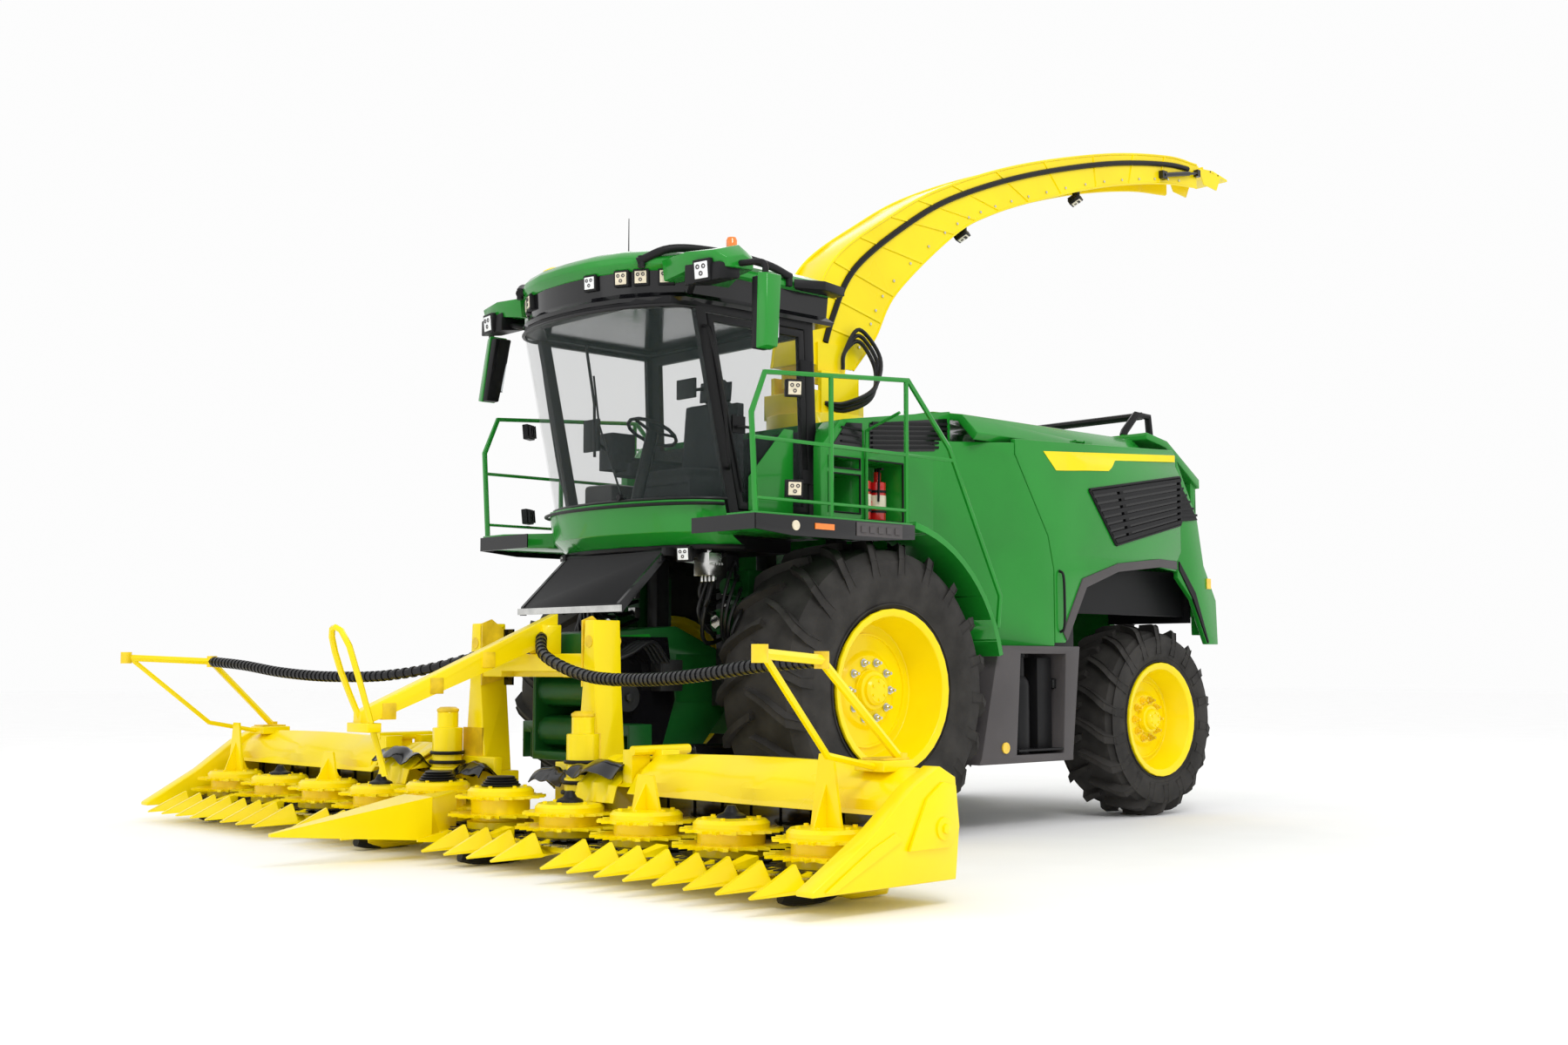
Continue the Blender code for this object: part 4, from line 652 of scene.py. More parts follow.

# %% Crop pans, also painted shade between the rotors, and channel
# Black pans under the rotors: crop pans, and also laid dark as painted shade between the rotors and snouts.
bm = bmesh.new()
add_block(bm, (0.22, -2.79, 0.1702), (1.47, -2.32, 0.1735))
mirrored(bm)
finish_piece("middle_pans_and_painted_shade", bm, "black_moulding", "header")
bm = bmesh.new()
add_block(bm, (1.53, -2.79, 0.1702), (3.71, -2.112, 0.1735))
finish_pair("crop_pan_and_painted_shade", bm, "black_moulding", "wing_{}")
bm = bmesh.new()
add_block(bm, (1.53, -2.098, 0.18), (3.70, -2.088, 0.49))
add_block(bm, (1.53, -2.108, 0.30), (3.70, -2.098, 0.32))
for i in range(9):
    add_block(bm, (1.62 + 0.25 * i, -2.110, 0.18), (1.64 + 0.25 * i, -2.098, 0.49))
finish_pair("crop_channel", bm, "black_gloss", "wing_{}")

# %% Knife strip
def add_knives(bm, x_low, x_high, step=0.08):
    """A row of pointed blades from x to x."""
    for i in range(round((x_high - x_low) / step)):
        x = x_low + step * (i + 0.5)
        blade = [(x - 0.035, -2.735), (x + 0.035, -2.735), (x + 0.004, -2.82), (x - 0.004, -2.82)]
        add_plate(bm, "Z", blade, 0.172, 0.180)


bm = bmesh.new()
add_knives(bm, 0.20, 1.48)
mirrored(bm)
finish_piece("middle_knives", bm, "bright_steel", "header")
bm = bmesh.new()
add_knives(bm, 1.52, 3.70)
finish_pair("wing_knives", bm, "bright_steel", "wing_{}")

# %% End shields and skids
bm = bmesh.new()
add_plate(bm, "X", [(-2.36, 0.30), (-2.22, 0.56), (-2.10, 0.64), (-2.00, 0.62), (-1.975, 0.40),
                    (-2.05, 0.30)],
          3.851, 3.872)
add_rod(bm, (3.86, -2.10, 0.40), (3.885, -2.10, 0.40), 0.060, 24)
add_rod(bm, (3.87, -2.10, 0.40), (3.900, -2.10, 0.40), 0.028, 6)
add_plate(bm, "X", [(-2.95, 0.145), (-2.62, 0.33), (-2.45, 0.40), (-2.40, 0.36), (-2.90, 0.135)], 3.851,
          3.862)
round_edges(bm, 0.004)
finish_pair("end_shield", bm, "yellow_gloss", "wing_{}")
bm = bmesh.new()
add_rod(bm, (3.36, -2.34, 0.105), (3.36, -2.41, 0.105), 0.05, 20)
add_hose(bm, [(3.36, -2.29, 0.10), (3.36, -2.46, 0.045), (3.35, -2.68, 0.04), (3.34, -2.76, 0.06)], 0.034)
finish_pair("wing_skid", bm, "black_moulding", "wing_{}")
bm = bmesh.new()
add_hose(bm, [(0.66, -2.44, 0.10), (0.66, -2.52, 0.042), (0.64, -2.80, 0.040), (0.63, -2.93, 0.065)], 0.036)
add_rod(bm, (0.66, -2.46, 0.11), (0.66, -2.53, 0.11), 0.045, 20)
mirrored(bm)
finish_piece("middle_skids", bm, "black_moulding", "header")

# %% [markdown]
# ## Crop guide hose
# A black ribbed hose spans the header above the rotors. The ribs are short rings along the curve. It is
# split over the wing hinges, so the halves part when the wings fold.


# %% Ribbed hose
def add_ribbed(bm, points, radius=0.034, step=0.05):
    """A hose with a short raised ring after each step of its length."""
    path = smooth_path(points, 10)
    add_pipe(bm, path, radius, 3)
    travelled = 0.0
    for a, b in zip(path, path[1:]):
        travelled += (b - a).length
        if travelled >= step:
            travelled = 0.0
            along = (b - a).normalized() * step * 0.28
            add_rod(bm, b - along, b + along, radius + 0.006, 14)


bm = bmesh.new()
add_ribbed(bm, [(0.02, -1.90, 1.45), (0.35, -2.12, 1.32), (0.80, -2.26, 1.22), (1.20, -2.36, 1.17),
                (1.496, -2.42, 1.155)])
finish_pair("guide_hose_inner", bm, "hose_rubber", "header")
bm = bmesh.new()
add_ribbed(bm, [(3.50, -2.63, 1.27), (3.0, -2.60, 1.24), (2.5, -2.56, 1.19), (2.00, -2.50, 1.16),
                (1.504, -2.42, 1.155)])
finish_pair("guide_hose_outer", bm, "hose_rubber", "wing_{}")
bm = bmesh.new()
add_rod(bm, (3.708, -3.245, 1.255), (3.708, -3.245, 1.345), 0.042, 20)
add_rod(bm, (3.506, -2.625, 1.225), (3.506, -2.625, 1.315), 0.040, 20)
add_rod(bm, (3.535, -2.06, 0.735), (3.535, -2.06, 0.775), 0.035, 6)
add_block(bm, (3.40, -2.22, 0.741), (3.56, -2.02, 0.752))
finish_pair("guide_joints", bm, "yellow_worn", "wing_{}")
print("header dressed")


# %% [markdown]
# ## Side panels
# Each engine panel carries a bank of black louvres in a slanted frame, a yellow stripe along the shoulder
# and a dark wheel arch trim. All of it rides on the panel, so it swings up with it.


# %% Louvres, stripe and arch trim
LOUVRE = [(2.33, 2.640), (2.68, 2.215), (3.600, 2.430), (3.600, 2.835)]


def panel_x(y, z):
    """How far out the panel's face stands at a place: it swells around the louvres."""
    rise = min(1.0, (y - 2.05) / 0.25, (2.95 - z) / 0.10, (z - 2.10) / 0.10)
    return max(1.500, 1.490 + 0.05 * rise)


def add_stripe(bm):
    """The shoulder stripe, draped on the panel: deep at the front, then stepped to a narrow band."""
    made = bmesh.ops.create_grid(bm, x_segments=72, y_segments=8, size=0.5)["verts"]
    for vert in made:
        along, down = vert.co.x + 0.5, 0.5 - vert.co.y
        y = 1.80 + 0.16 * down + (3.60 - 1.80 - 0.16 * down) * along
        deep = 0.150 - 0.092 * min(1.0, max(0.0, (y - 2.60) / 0.13))
        z = 2.912 + 0.064 * (y - 1.80) - deep * down
        vert.co = (panel_x(y, z) + 0.0045, y, z)
    thicken(bm, made, 0.003)


# %% The dress of a panel
bm = bmesh.new()
add_plate(bm, "X", LOUVRE, 1.530, 1.5415)
finish_pair("louvre_back", bm, "black_gloss", "panel_{}")
bm = bmesh.new()
for i in range(8):
    low, high = (i + 0.20) / 8, (i + 0.78) / 8
    front = [Vector(LOUVRE[1]).lerp(Vector(LOUVRE[0]), t) for t in (low, high)]
    rear = [Vector(LOUVRE[2]).lerp(Vector(LOUVRE[3]), t) for t in (low, high)]
    for vert in add_plate(bm, "X", [front[0], rear[0], rear[1], front[1]], 1.541, 1.562):
        near = (vert.co.yz - front[0]).length < 0.04 or (vert.co.yz - rear[0]).length < 0.06
        if near and vert.co.x > 1.55:
            vert.co.x += 0.006
for a, b in zip(LOUVRE, LOUVRE[1:] + LOUVRE[:1]):
    add_pipe(bm, [(1.548, *a), (1.548, *b)], 0.013)
add_plate(bm, "X", [(2.85, 2.30), (2.90, 2.30), (2.76, 2.70), (2.71, 2.70)], 1.541, 1.556)
finish_pair("louvres", bm, "black_moulding", "panel_{}")
bm = bmesh.new()
add_stripe(bm)
finish_pair("stripe", bm, "yellow_gloss", "panel_{}")
bm = bmesh.new()
arch = [(2.07, 1.43), (2.33, 1.86), (2.76, 2.00), (3.35, 2.06), (3.60, 2.05)]
outer = [(y - 0.05, z + 0.07) for y, z in arch[:2]] + [(y, z + 0.07) for y, z in arch[2:]]
add_plate(bm, "X", arch + outer[::-1], 1.49, 1.512)
round_edges(bm, 0.004)
finish_pair("arch_trim", bm, "grey_moulding", "panel_{}")
bm = bmesh.new()
add_hose(bm, [(1.505, 1.985, 1.50), (1.545, 1.985, 1.54), (1.550, 1.985, 1.75), (1.545, 1.98, 1.94),
              (1.505, 1.98, 1.98)], 0.011)
finish_pair("panel_handle", bm, "black_moulding", "panel_{}")
print("side panels dressed")

# %% [markdown]
# ## Body sides and rear
# The fixed bodywork has a small upper grille, niches beside the cab, reflectors, rear lamps, a rear air
# grille and handles. They ride on the chassis.

# %% Upper grille and niche frames
bm = bmesh.new()
add_plate(bm, "X", [(-0.20, 2.80), (-0.04, 2.995), (0.12, 3.005), (0.12, 2.80)], 1.148, 1.156)
add_plate(bm, "X", [(0.20, 2.80), (0.20, 3.015), (1.06, 3.13), (1.06, 2.88)], 1.148, 1.156)
mirrored(bm)
finish_piece("upper_grille_back", bm, "black_gloss", "chassis")
bm = bmesh.new()
for i in range(6):
    z = 2.825 + 0.036 * i
    add_plate(bm, "X", [(0.22, z), (0.22, z + 0.02), (1.05, z + 0.09), (1.05, z + 0.07)], 1.156, 1.170)
for z in (2.85, 2.90, 2.95):
    add_block(bm, (1.156, -0.10, z), (1.168, 0.10, z + 0.014))
for y0, y1, z0, z1 in ((-0.22, 0.10, 2.34, 2.62), (-0.22, 0.10, 2.66, 2.74), (0.16, 0.56, 2.30, 2.74)):
    add_pipe(bm, ring("X", 1.152, [(y0, z0), (y1, z0), (y1, z1), (y0, z1)]), 0.009, closed=True)
mirrored(bm)
finish_piece("upper_grille_slats", bm, "black_moulding", "chassis")

# %% Fire extinguisher fittings
def add_band(bm, y, inner, outer, low, high):
    """A band round a bottle."""
    add_turned(bm, [(inner, low), (outer, low), (outer, high), (inner, high), (inner, low)], (1.02, y, 0), 28)


bm = bmesh.new()
for y in (0.26, 0.42):
    add_rod(bm, (1.02, y, 2.655), (1.02, y, 2.70), 0.020, 16)
    add_block(bm, (1.005, y - 0.012, 2.69), (1.075, y + 0.012, 2.705))
    add_hose(bm, [(1.03, y, 2.69), (1.07, y - 0.03, 2.68), (1.085, y - 0.05, 2.58), (1.08, y - 0.05, 2.45)],
             0.009, 2)
    for z in (2.37, 2.52):
        add_band(bm, y, 0.0655, 0.0695, z, z + 0.018)
finish_piece("extinguisher_fittings", bm, "black_moulding", "chassis")
bm = bmesh.new()
for y in (0.26, 0.42):
    add_band(bm, y, 0.0652, 0.0672, 2.40, 2.50)
finish_piece("extinguisher_bands", bm, "beige_lens", "chassis")

# %% Reflectors, and the canister and tank of the lower boxes
bm = bmesh.new()
add_rod(bm, (1.498, 1.30, 0.62), (1.512, 1.30, 0.62), 0.042, 28)
add_block(bm, (1.497, 4.055, 1.90), (1.507, 4.115, 1.99))
mirrored(bm)
finish_piece("side_reflectors", bm, "yellow_lens", "chassis")
bm = bmesh.new()
add_turned(bm, [(0, 0.54), (0.088, 0.54), (0.092, 0.56), (0.092, 1.08), (0.085, 1.12), (0.055, 1.16),
                (0.053, 1.30),
                (0.062, 1.31), (0.062, 1.355), (0, 1.36)], (1.33, 1.66, 0), 32)
add_block(bm, (1.20, 1.82, 0.57), (1.40, 2.00, 1.30))
add_block(bm, (1.14, 1.47, 0.585), (1.495, 2.03, 0.60))
mirrored(bm)
round_edges(bm, 0.006)
finish_piece("air_dryer", bm, "black_moulding", "chassis")

# %% Rear lamps, grille, plate and hitch pin
bm = bmesh.new()
for i in range(9):
    z = 1.80 + 0.11 * i
    add_plate(bm, "X", [(4.101, z), (4.125, z - 0.02), (4.125, z - 0.035), (4.101, z - 0.015)], -1.05, 1.05)
for x in (-1.06, 1.05):
    add_block(bm, (x, 4.098, 1.72), (x + 0.012, 4.13, 2.74))
add_block(bm, (-0.30, 4.098, 1.33), (0.30, 4.112, 1.50))
finish_piece("rear_grille", bm, "black_moulding", "chassis")
for name, finish, z_low, z_high, y_high in (("rear_lamps", "red_lens", 2.30, 2.55, 4.125),
                                            ("rear_indicators", "amber_lens", 2.57, 2.66, 4.122)):
    bm = bmesh.new()
    add_block(bm, (1.14, 4.098, z_low), (1.30, y_high, z_high))
    mirrored(bm)
    round_edges(bm, 0.006)
    finish_piece(name, bm, finish, "chassis")
bm = bmesh.new()
add_rod(bm, (0, 4.48, 0.60), (0, 4.48, 0.98), 0.022, 20)
add_rod(bm, (0, 4.48, 0.955), (0, 4.48, 0.98), 0.040, 20)
add_hose(bm, [(0, 4.48, 0.985), (0.03, 4.47, 1.03), (0, 4.44, 1.07), (-0.03, 4.47, 1.03), (0, 4.48, 0.985)],
         0.008, 2)
finish_piece("hitch_pin", bm, "bright_steel", "chassis")
bm = bmesh.new()
for x in (0.09, -0.16):
    add_plate(bm, "X", [(4.10, 0.62), (4.10, 1.02), (4.40, 0.96), (4.58, 0.94), (4.60, 0.90), (4.42, 0.88),
                        (4.30, 0.80), (4.30, 0.70)], x, x + 0.07)
add_block(bm, (-0.30, 4.102, 0.66), (0.30, 4.118, 1.16))
for x in (-0.25, 0.25):
    for z in (0.72, 1.10):
        add_rod(bm, (x, 4.115, z), (x, 4.140, z), 0.022, 6)
round_edges(bm, 0.006)
finish_piece("hitch_jaws", bm, "cast_steel", "chassis")

# %% Dark liners inside the rear arches
bm = bmesh.new()
add_block(bm, (1.28, 2.22, 1.66), (1.30, 4.00, 2.04))
add_block(bm, (0.50, 4.000, 1.605), (1.36, 4.015, 1.90))
mirrored(bm)
finish_piece("arch_liners", bm, "black_moulding", "chassis")

# %% Arch trim and vents of the rear corners
bm = bmesh.new()
add_plate(bm, "X", [(3.632, 2.05), (3.632, 2.12), (3.87, 1.86), (4.06, 1.44), (4.05, 1.43), (3.84, 1.80)],
          1.49, 1.513)
add_plate(bm, "X", [(3.64, 2.46), (3.64, 2.81), (3.76, 2.68), (3.92, 2.49)], 1.497, 1.512)
for i in range(5):
    z = 2.50 + 0.055 * i
    add_plate(bm, "X", [(3.645, z), (3.645, z + 0.03), (3.90 - 0.05 * i, z + 0.04),
                        (3.90 - 0.05 * i, z + 0.02)], 1.511, 1.524)
mirrored(bm)
finish_piece("corner_vents", bm, "black_moulding", "chassis")

# %% Hoop over the rear
bm = bmesh.new()
for x in (1.1, -1.1):
    add_pipe(bm, [(x, 3.43, 3.22), (x, 3.45, 3.26), (x, 3.62, 3.42), (x, 3.80, 3.42), (x, 3.86, 2.99)], 0.034)
add_pipe(bm, [(-1.1, 3.71, 3.42), (1.1, 3.71, 3.42)], 0.034)
finish_piece("rear_hoop", bm, "black_moulding", "chassis")

# %% Radiator screen and seams on the hood
bm = bmesh.new()
add_block(bm, (-0.55, 2.30, 3.209), (0.55, 3.15, 3.222))
for i in range(16):
    y = 2.34 + 0.05 * i
    add_block(bm, (-0.52, y, 3.220), (0.52, y + 0.020, 3.232))
finish_piece("radiator_screen", bm, "black_moulding", "chassis")
bm = bmesh.new()
for y in (1.75, 3.30):
    add_plate(bm, "Y", [(-1.0, 3.208), (1.0, 3.208), (1.0, 3.216), (-1.0, 3.216)], y, y + 0.02)
finish_piece("hood_seams", bm, "black_moulding", "chassis")
print("bodywork dressed")


# %% [markdown]
# ## Cab roof, lamps and mirrors
# A black visor band wraps the front of the roof and holds a row of work lamps. Lamp pods hang from the
# ears, and the mirrors are green shells with silvered faces.


# %% Lamp maker
def work_lamp(name, place, aim, size, body, lens_finish="lamp_glass"):
    """A square work lamp: a finned black housing, a pale lens and three rings on it, looking along aim."""
    turn = Vector(aim).to_track_quat("Z", "Y").to_matrix().to_4x4()
    move = Matrix.Translation(place) @ turn
    bm = bmesh.new()
    add_block(bm, (-size / 2, -size / 2, -0.05), (size / 2, size / 2, 0.0))
    for i in range(4):
        x = -size / 2 + size * (i + 0.5) / 4
        add_block(bm, (x - 0.004, -size * 0.42, -0.07), (x + 0.004, size * 0.42, -0.045))
    round_edges(bm, 0.006)
    bmesh.ops.transform(bm, matrix=move, verts=bm.verts)
    finish_piece(f"{name}_housing", bm, "black_moulding", body)
    bm = bmesh.new()
    add_block(bm, (-size * 0.37, -size * 0.37, -0.004), (size * 0.37, size * 0.37, 0.006))
    round_edges(bm, 0.003)
    bmesh.ops.transform(bm, matrix=move, verts=bm.verts)
    finish_piece(f"{name}_face", bm, lens_finish, body)
    bm = bmesh.new()
    for x, y in ((-0.17, 0.16), (0.17, 0.16), (0, -0.15)):
        inner, outer = size * 0.05, size * 0.11
        add_turned(bm, [(inner, 0.005), (outer, 0.005), (outer, 0.010), (inner, 0.008), (inner, 0.005)],
                   (x * size, y * size, 0), 18)
    bmesh.ops.transform(bm, matrix=move, verts=bm.verts)
    finish_piece(f"{name}_rings", bm, "grey_moulding", body)


# %% Roof cap, visor band and ears
ROOF_PLAN = [(0.97, 0.02), (0.97, -0.48), (0.97, -0.95), (0.93, -1.38), (0.76, -1.545), (0.55, -1.66),
             (0.28, -1.725)]
ROOF_PLAN += [(0, -1.74)] + [(-x, y) for x, y in reversed(ROOF_PLAN)]


def roof_ring(share, z, rise=0.0):
    """The roof's outline, drawn in about its middle; rise lifts the front edge."""
    return [(x * share, -0.85 + (y + 0.85) * share, z + rise * max(0.0, -y - 1.2)) for x, y in ROOF_PLAN]


bm = bmesh.new()
add_loft(bm, [ring("X", x, outline) for x, outline in (
    (0.84, [(-1.50, 3.86), (-0.95, 3.86), (-0.95, 4.00), (-1.25, 4.06), (-1.52, 4.00)]),
    (1.12, [(-1.50, 3.90), (-1.05, 3.92), (-1.05, 4.02), (-1.27, 4.08), (-1.54, 4.01)]),
    (1.36, [(-1.46, 3.88), (-1.16, 3.90), (-1.16, 4.00), (-1.28, 4.06), (-1.50, 3.99)]),
    (1.42, [(-1.42, 3.88), (-1.20, 3.89), (-1.20, 3.95), (-1.29, 3.98), (-1.44, 3.94)]))])
mirrored(bm)
add_loft(bm, [roof_ring(*step) for step in (
    (0.97, 3.950), (1.012, 3.965, 0.08), (1.012, 3.995, 0.10), (0.97, 4.055, 0.06), (0.86, 4.105, 0.04),
    (0.66, 4.145), (0.40, 4.165), (0.15, 4.172))])
round_edges(bm, 0.006)
finish_piece("roof_cap", bm, "green_gloss", "chassis", ("cab_roof",))
bm = bmesh.new()
add_loft(bm, [roof_ring(*step) for step in ((0.985, 3.7345), (1.0, 3.76), (0.955, 3.80),
                                            (0.965, 3.955, 0.05))])
finish_piece("visor_band", bm, "black_gloss", "chassis")
# %% Lamp pods and mirror shells
bm = bmesh.new()
add_loft(bm, [ring("X", 1.08, [(-1.52, 3.79), (-1.30, 3.82), (-1.30, 3.93), (-1.52, 3.93)]),
              ring("X", 1.40, [(-1.49, 3.79), (-1.30, 3.82), (-1.30, 3.91), (-1.49, 3.91)])])
add_hose(bm, [(0.93, -1.34, 3.80), (1.08, -1.42, 3.84), (1.25, -1.40, 3.86)], 0.022)
add_hose(bm, [(1.36, -1.33, 3.92), (1.56, -1.28, 3.91), (1.60, -1.26, 3.88), (1.60, -1.26, 3.80)], 0.022)
add_loft(bm, [ring("Z", 3.32, [(1.545, -1.335), (1.600, -1.340), (1.600, -1.22), (1.545, -1.22)]),
              ring("Z", 3.82, [(1.495, -1.285), (1.560, -1.290), (1.560, -1.14), (1.495, -1.14)])])
mirrored(bm)
round_edges(bm, 0.010)
finish_piece("lamp_pods", bm, "black_moulding", "chassis")
bm = bmesh.new()
add_loft(bm, [[(1.600, -1.345, 3.315), (1.685, -1.325, 3.33), (1.685, -1.22, 3.33), (1.600, -1.215, 3.315)],
              [(1.560, -1.295, 3.845), (1.635, -1.275, 3.83), (1.635, -1.14, 3.83), (1.560, -1.135, 3.845)]])
mirrored(bm)
round_edges(bm, 0.010)
finish_piece("mirror_shells", bm, "green_gloss", "chassis")

# %% Lamps on the roof
for i, (x, y, slope) in enumerate(((0.28, -1.712, 0.20), (0.55, -1.645, 0.45), (0.68, -1.575, 0.60),
                                   (0.82, -1.465, 0.80))):
    lens_finish = "beige_lens" if i else "lamp_glass"
    work_lamp(f"visor_lamp_{i}", (x, y, 3.905), (slope, -1, -0.05), 0.115, "chassis", lens_finish)
    if i:
        work_lamp(f"visor_lamp_far_{i}", (-x, y, 3.905), (-slope, -1, -0.05), 0.115, "chassis", lens_finish)
for side, sign in SIDES:
    work_lamp(f"ear_lamp_{side}", (sign * 1.26, -1.525, 3.865), (0.15 * sign, -1, -0.1), 0.15, "chassis")
    work_lamp(f"roof_rear_lamp_{side}", (sign * 0.80, 0.04, 3.87), (0, 1, -0.15), 0.12, "chassis")

# %% Roof rails, receiver dome, beacons and aerial
bm = bmesh.new()
add_hose(bm, [(0.70, -1.62, 4.00), (0.86, -1.46, 4.09), (0.98, -1.15, 4.10), (1.00, -0.70, 4.08),
              (0.99, -0.45, 4.03)], 0.030, steps=6)
for x, y in ((0.72, -1.60), (0.99, -0.46)):
    add_rod(bm, (x, y, 3.96), (x, y, 4.04), 0.026, 16)
add_plate(bm, "Z", [(0.90, -0.30), (1.00, -0.42), (1.10, -0.20), (1.04, 0.06), (0.92, 0.06)], 3.955, 4.02)
mirrored(bm)
round_edges(bm, 0.006)
finish_piece("roof_rails", bm, "black_moulding", "chassis")
bm = bmesh.new()
add_rod(bm, (-0.12, -1.05, 4.15), (-0.12, -1.05, 4.22), 0.018, 14)
add_rod(bm, (-0.12, -1.05, 4.21), (-0.12, -1.05, 4.56), 0.005, 10, 0.003)
add_rod(bm, (0.14, -1.05, 4.15), (0.14, -1.05, 4.20), 0.055, 24, 0.045)
finish_piece("aerial", bm, "black_moulding", "chassis")
bm = bmesh.new()
add_turned(bm, [(0, 4.03), (0.115, 4.03), (0.122, 4.05), (0.118, 4.12), (0.095, 4.165), (0.05, 4.19),
                (0, 4.197)], (-0.52, -1.42, 0), 36)
finish_piece("receiver_dome", bm, "yellow_gloss", "chassis")
bm = bmesh.new()
add_rod(bm, (1.20, -1.20, 4.03), (1.20, -1.20, 4.075), 0.042, 24)
mirrored(bm)
finish_piece("beacon_feet", bm, "black_moulding", "chassis")
bm = bmesh.new()
add_turned(bm, [(0, 4.073), (0.038, 4.073), (0.038, 4.13), (0.03, 4.15), (0, 4.157)], (1.20, -1.20, 0), 28)
mirrored(bm)
finish_piece("beacons", bm, "amber_lens", "chassis")

# %% Mirror faces
bm = bmesh.new()
add_plate(bm, "X", [(-1.315, 3.345), (-1.235, 3.345), (-1.165, 3.815), (-1.255, 3.815)], 1.475, 1.482)
for vert in bm.verts:
    vert.co.x += 0.075 * (3.84 - vert.co.z) / 0.5
mirrored(bm)
finish_piece("mirror_backs", bm, "black_moulding", "chassis")
bm = bmesh.new()
add_block(bm, (1.530, -1.205, 3.40), (1.628, -1.190, 3.80))
for vert in bm.verts:
    vert.co.y += -0.055 * (3.84 - vert.co.z) / 0.5 + 0.055
    vert.co.x += 0.05 * (3.84 - vert.co.z) / 0.5 - 0.02
mirrored(bm)
finish_piece("mirror_faces", bm, "mirror_glass", "chassis")

# %% [markdown]
# ## Windows and door
# Rubber gaskets frame each pane. A long wiper parks on the screen, and the door has a lever handle.

# %% Nose lip and the door's lower skin
def bow(half_width, y, depth, z, steps):
    """Half an oval in front of y, from one side of the cab to the other."""
    angles = [math.pi * i / steps for i in range(steps + 1)]
    return [(half_width * math.cos(a), y - depth * math.sin(a), z) for a in angles]


bm = bmesh.new()
add_pipe(bm, bow(0.955, -0.862, 0.42, 2.062, 28), 0.018)
add_pipe(bm, bow(0.962, -1.052, 0.425, 2.352, 28), 0.012)
finish_piece("nose_lips", bm, "black_moulding", "chassis")
bm = bmesh.new()
add_plate(bm, "X", [(-0.80, 2.325), (-0.37, 2.325), (-0.37, 2.93), (-0.46, 2.93), (-0.80, 2.56)], 0.931,
          0.938)
round_edges(bm, 0.002)
finish_piece("door_skin", bm, "green_gloss", "door")

# %% Screen gaskets, wiper and cab trim
bm = bmesh.new()
add_pipe(bm, bow(0.93, -0.999, 0.42, 2.392, 24), 0.013)
add_pipe(bm, bow(0.93, -1.296, 0.42, 3.700, 24), 0.013)
finish_piece("screen_gaskets", bm, "hose_rubber", "chassis")
bm = bmesh.new()
add_pipe(bm, [(0.25, -1.385, 2.42), (0.10, -1.480, 2.95), (0.06, -1.500, 3.30)], 0.008)
add_pipe(bm, [(0.05, -1.478, 2.72), (0.07, -1.500, 3.10), (0.04, -1.556, 3.52)], 0.011)
add_rod(bm, (0.25, -1.36, 2.42), (0.25, -1.42, 2.42), 0.022, 16)
finish_piece("wiper", bm, "black_moulding", "chassis")
bm = bmesh.new()
add_hose(bm, [(0.935, -0.99, 2.60), (0.975, -1.02, 2.66), (1.00, -1.10, 3.10), (0.975, -1.20, 3.52),
              (0.935, -1.22, 3.58)], 0.012, steps=6)
mirrored(bm)
finish_piece("cab_grab_rails", bm, "black_moulding", "chassis")
bm = bmesh.new()
add_block(bm, (0.930, -0.96, 2.86), (0.945, -0.84, 2.98))
add_hose(bm, [(0.945, -0.93, 2.90), (0.975, -0.93, 2.90), (0.985, -0.88, 2.90), (0.975, -0.80, 2.90),
              (0.945, -0.80, 2.90)], 0.010)
add_pipe(bm, [(0.94, -0.86, 2.45), (0.94, -1.16, 3.58)], 0.008)
finish_piece("door_handle", bm, "black_moulding", "door")

# %% [markdown]
# ## Cushions and console
# The cushions are foam under cloth, so each is its own crowned form: a block with many cuts whose faces
# swell between the edges, with sewn channels pressed in.


# %% Cushion maker
def cushion(name, low, high, lean=0.0, channels=3, swell=0.022):
    """A padded block: its two broad faces crown and carry channels, its sides pull in between them."""
    bm = bmesh.new()
    add_block(bm, low, high)
    bmesh.ops.subdivide_edges(bm, edges=bm.edges, cuts=11, use_grid_fill=True)
    middle, size = (Vector(low) + Vector(high)) / 2, Vector(high) - Vector(low)
    thin = min(range(3), key=lambda axis: size[axis])
    for vert in bm.verts:
        part = Vector([(vert.co[k] - middle[k]) / (size[k] / 2) for k in range(3)])
        flat = [part[k] for k in range(3) if k != thin]
        crown = max(0.0, 1 - flat[0] ** 2) * max(0.0, 1 - flat[1] ** 2)
        groove = 0.010 * max(0, math.cos(math.pi * channels * flat[0])) ** 6
        if abs(part[thin]) > 0.5:
            vert.co[thin] += math.copysign(swell * crown ** 0.5 - groove, part[thin])
        for k in range(3):
            if k != thin:
                vert.co[k] -= part[k] * 0.012 * (1 - abs(part[thin]))
    bmesh.ops.smooth_vert(bm, verts=bm.verts, factor=0.5, use_axis_x=True, use_axis_y=True, use_axis_z=True)
    bmesh.ops.rotate(bm, verts=bm.verts, cent=middle, matrix=Matrix.Rotation(lean, 3, "X"))
    piece = finish_piece(name, bm, "seat_cloth", "chassis", angle=80)
    return piece


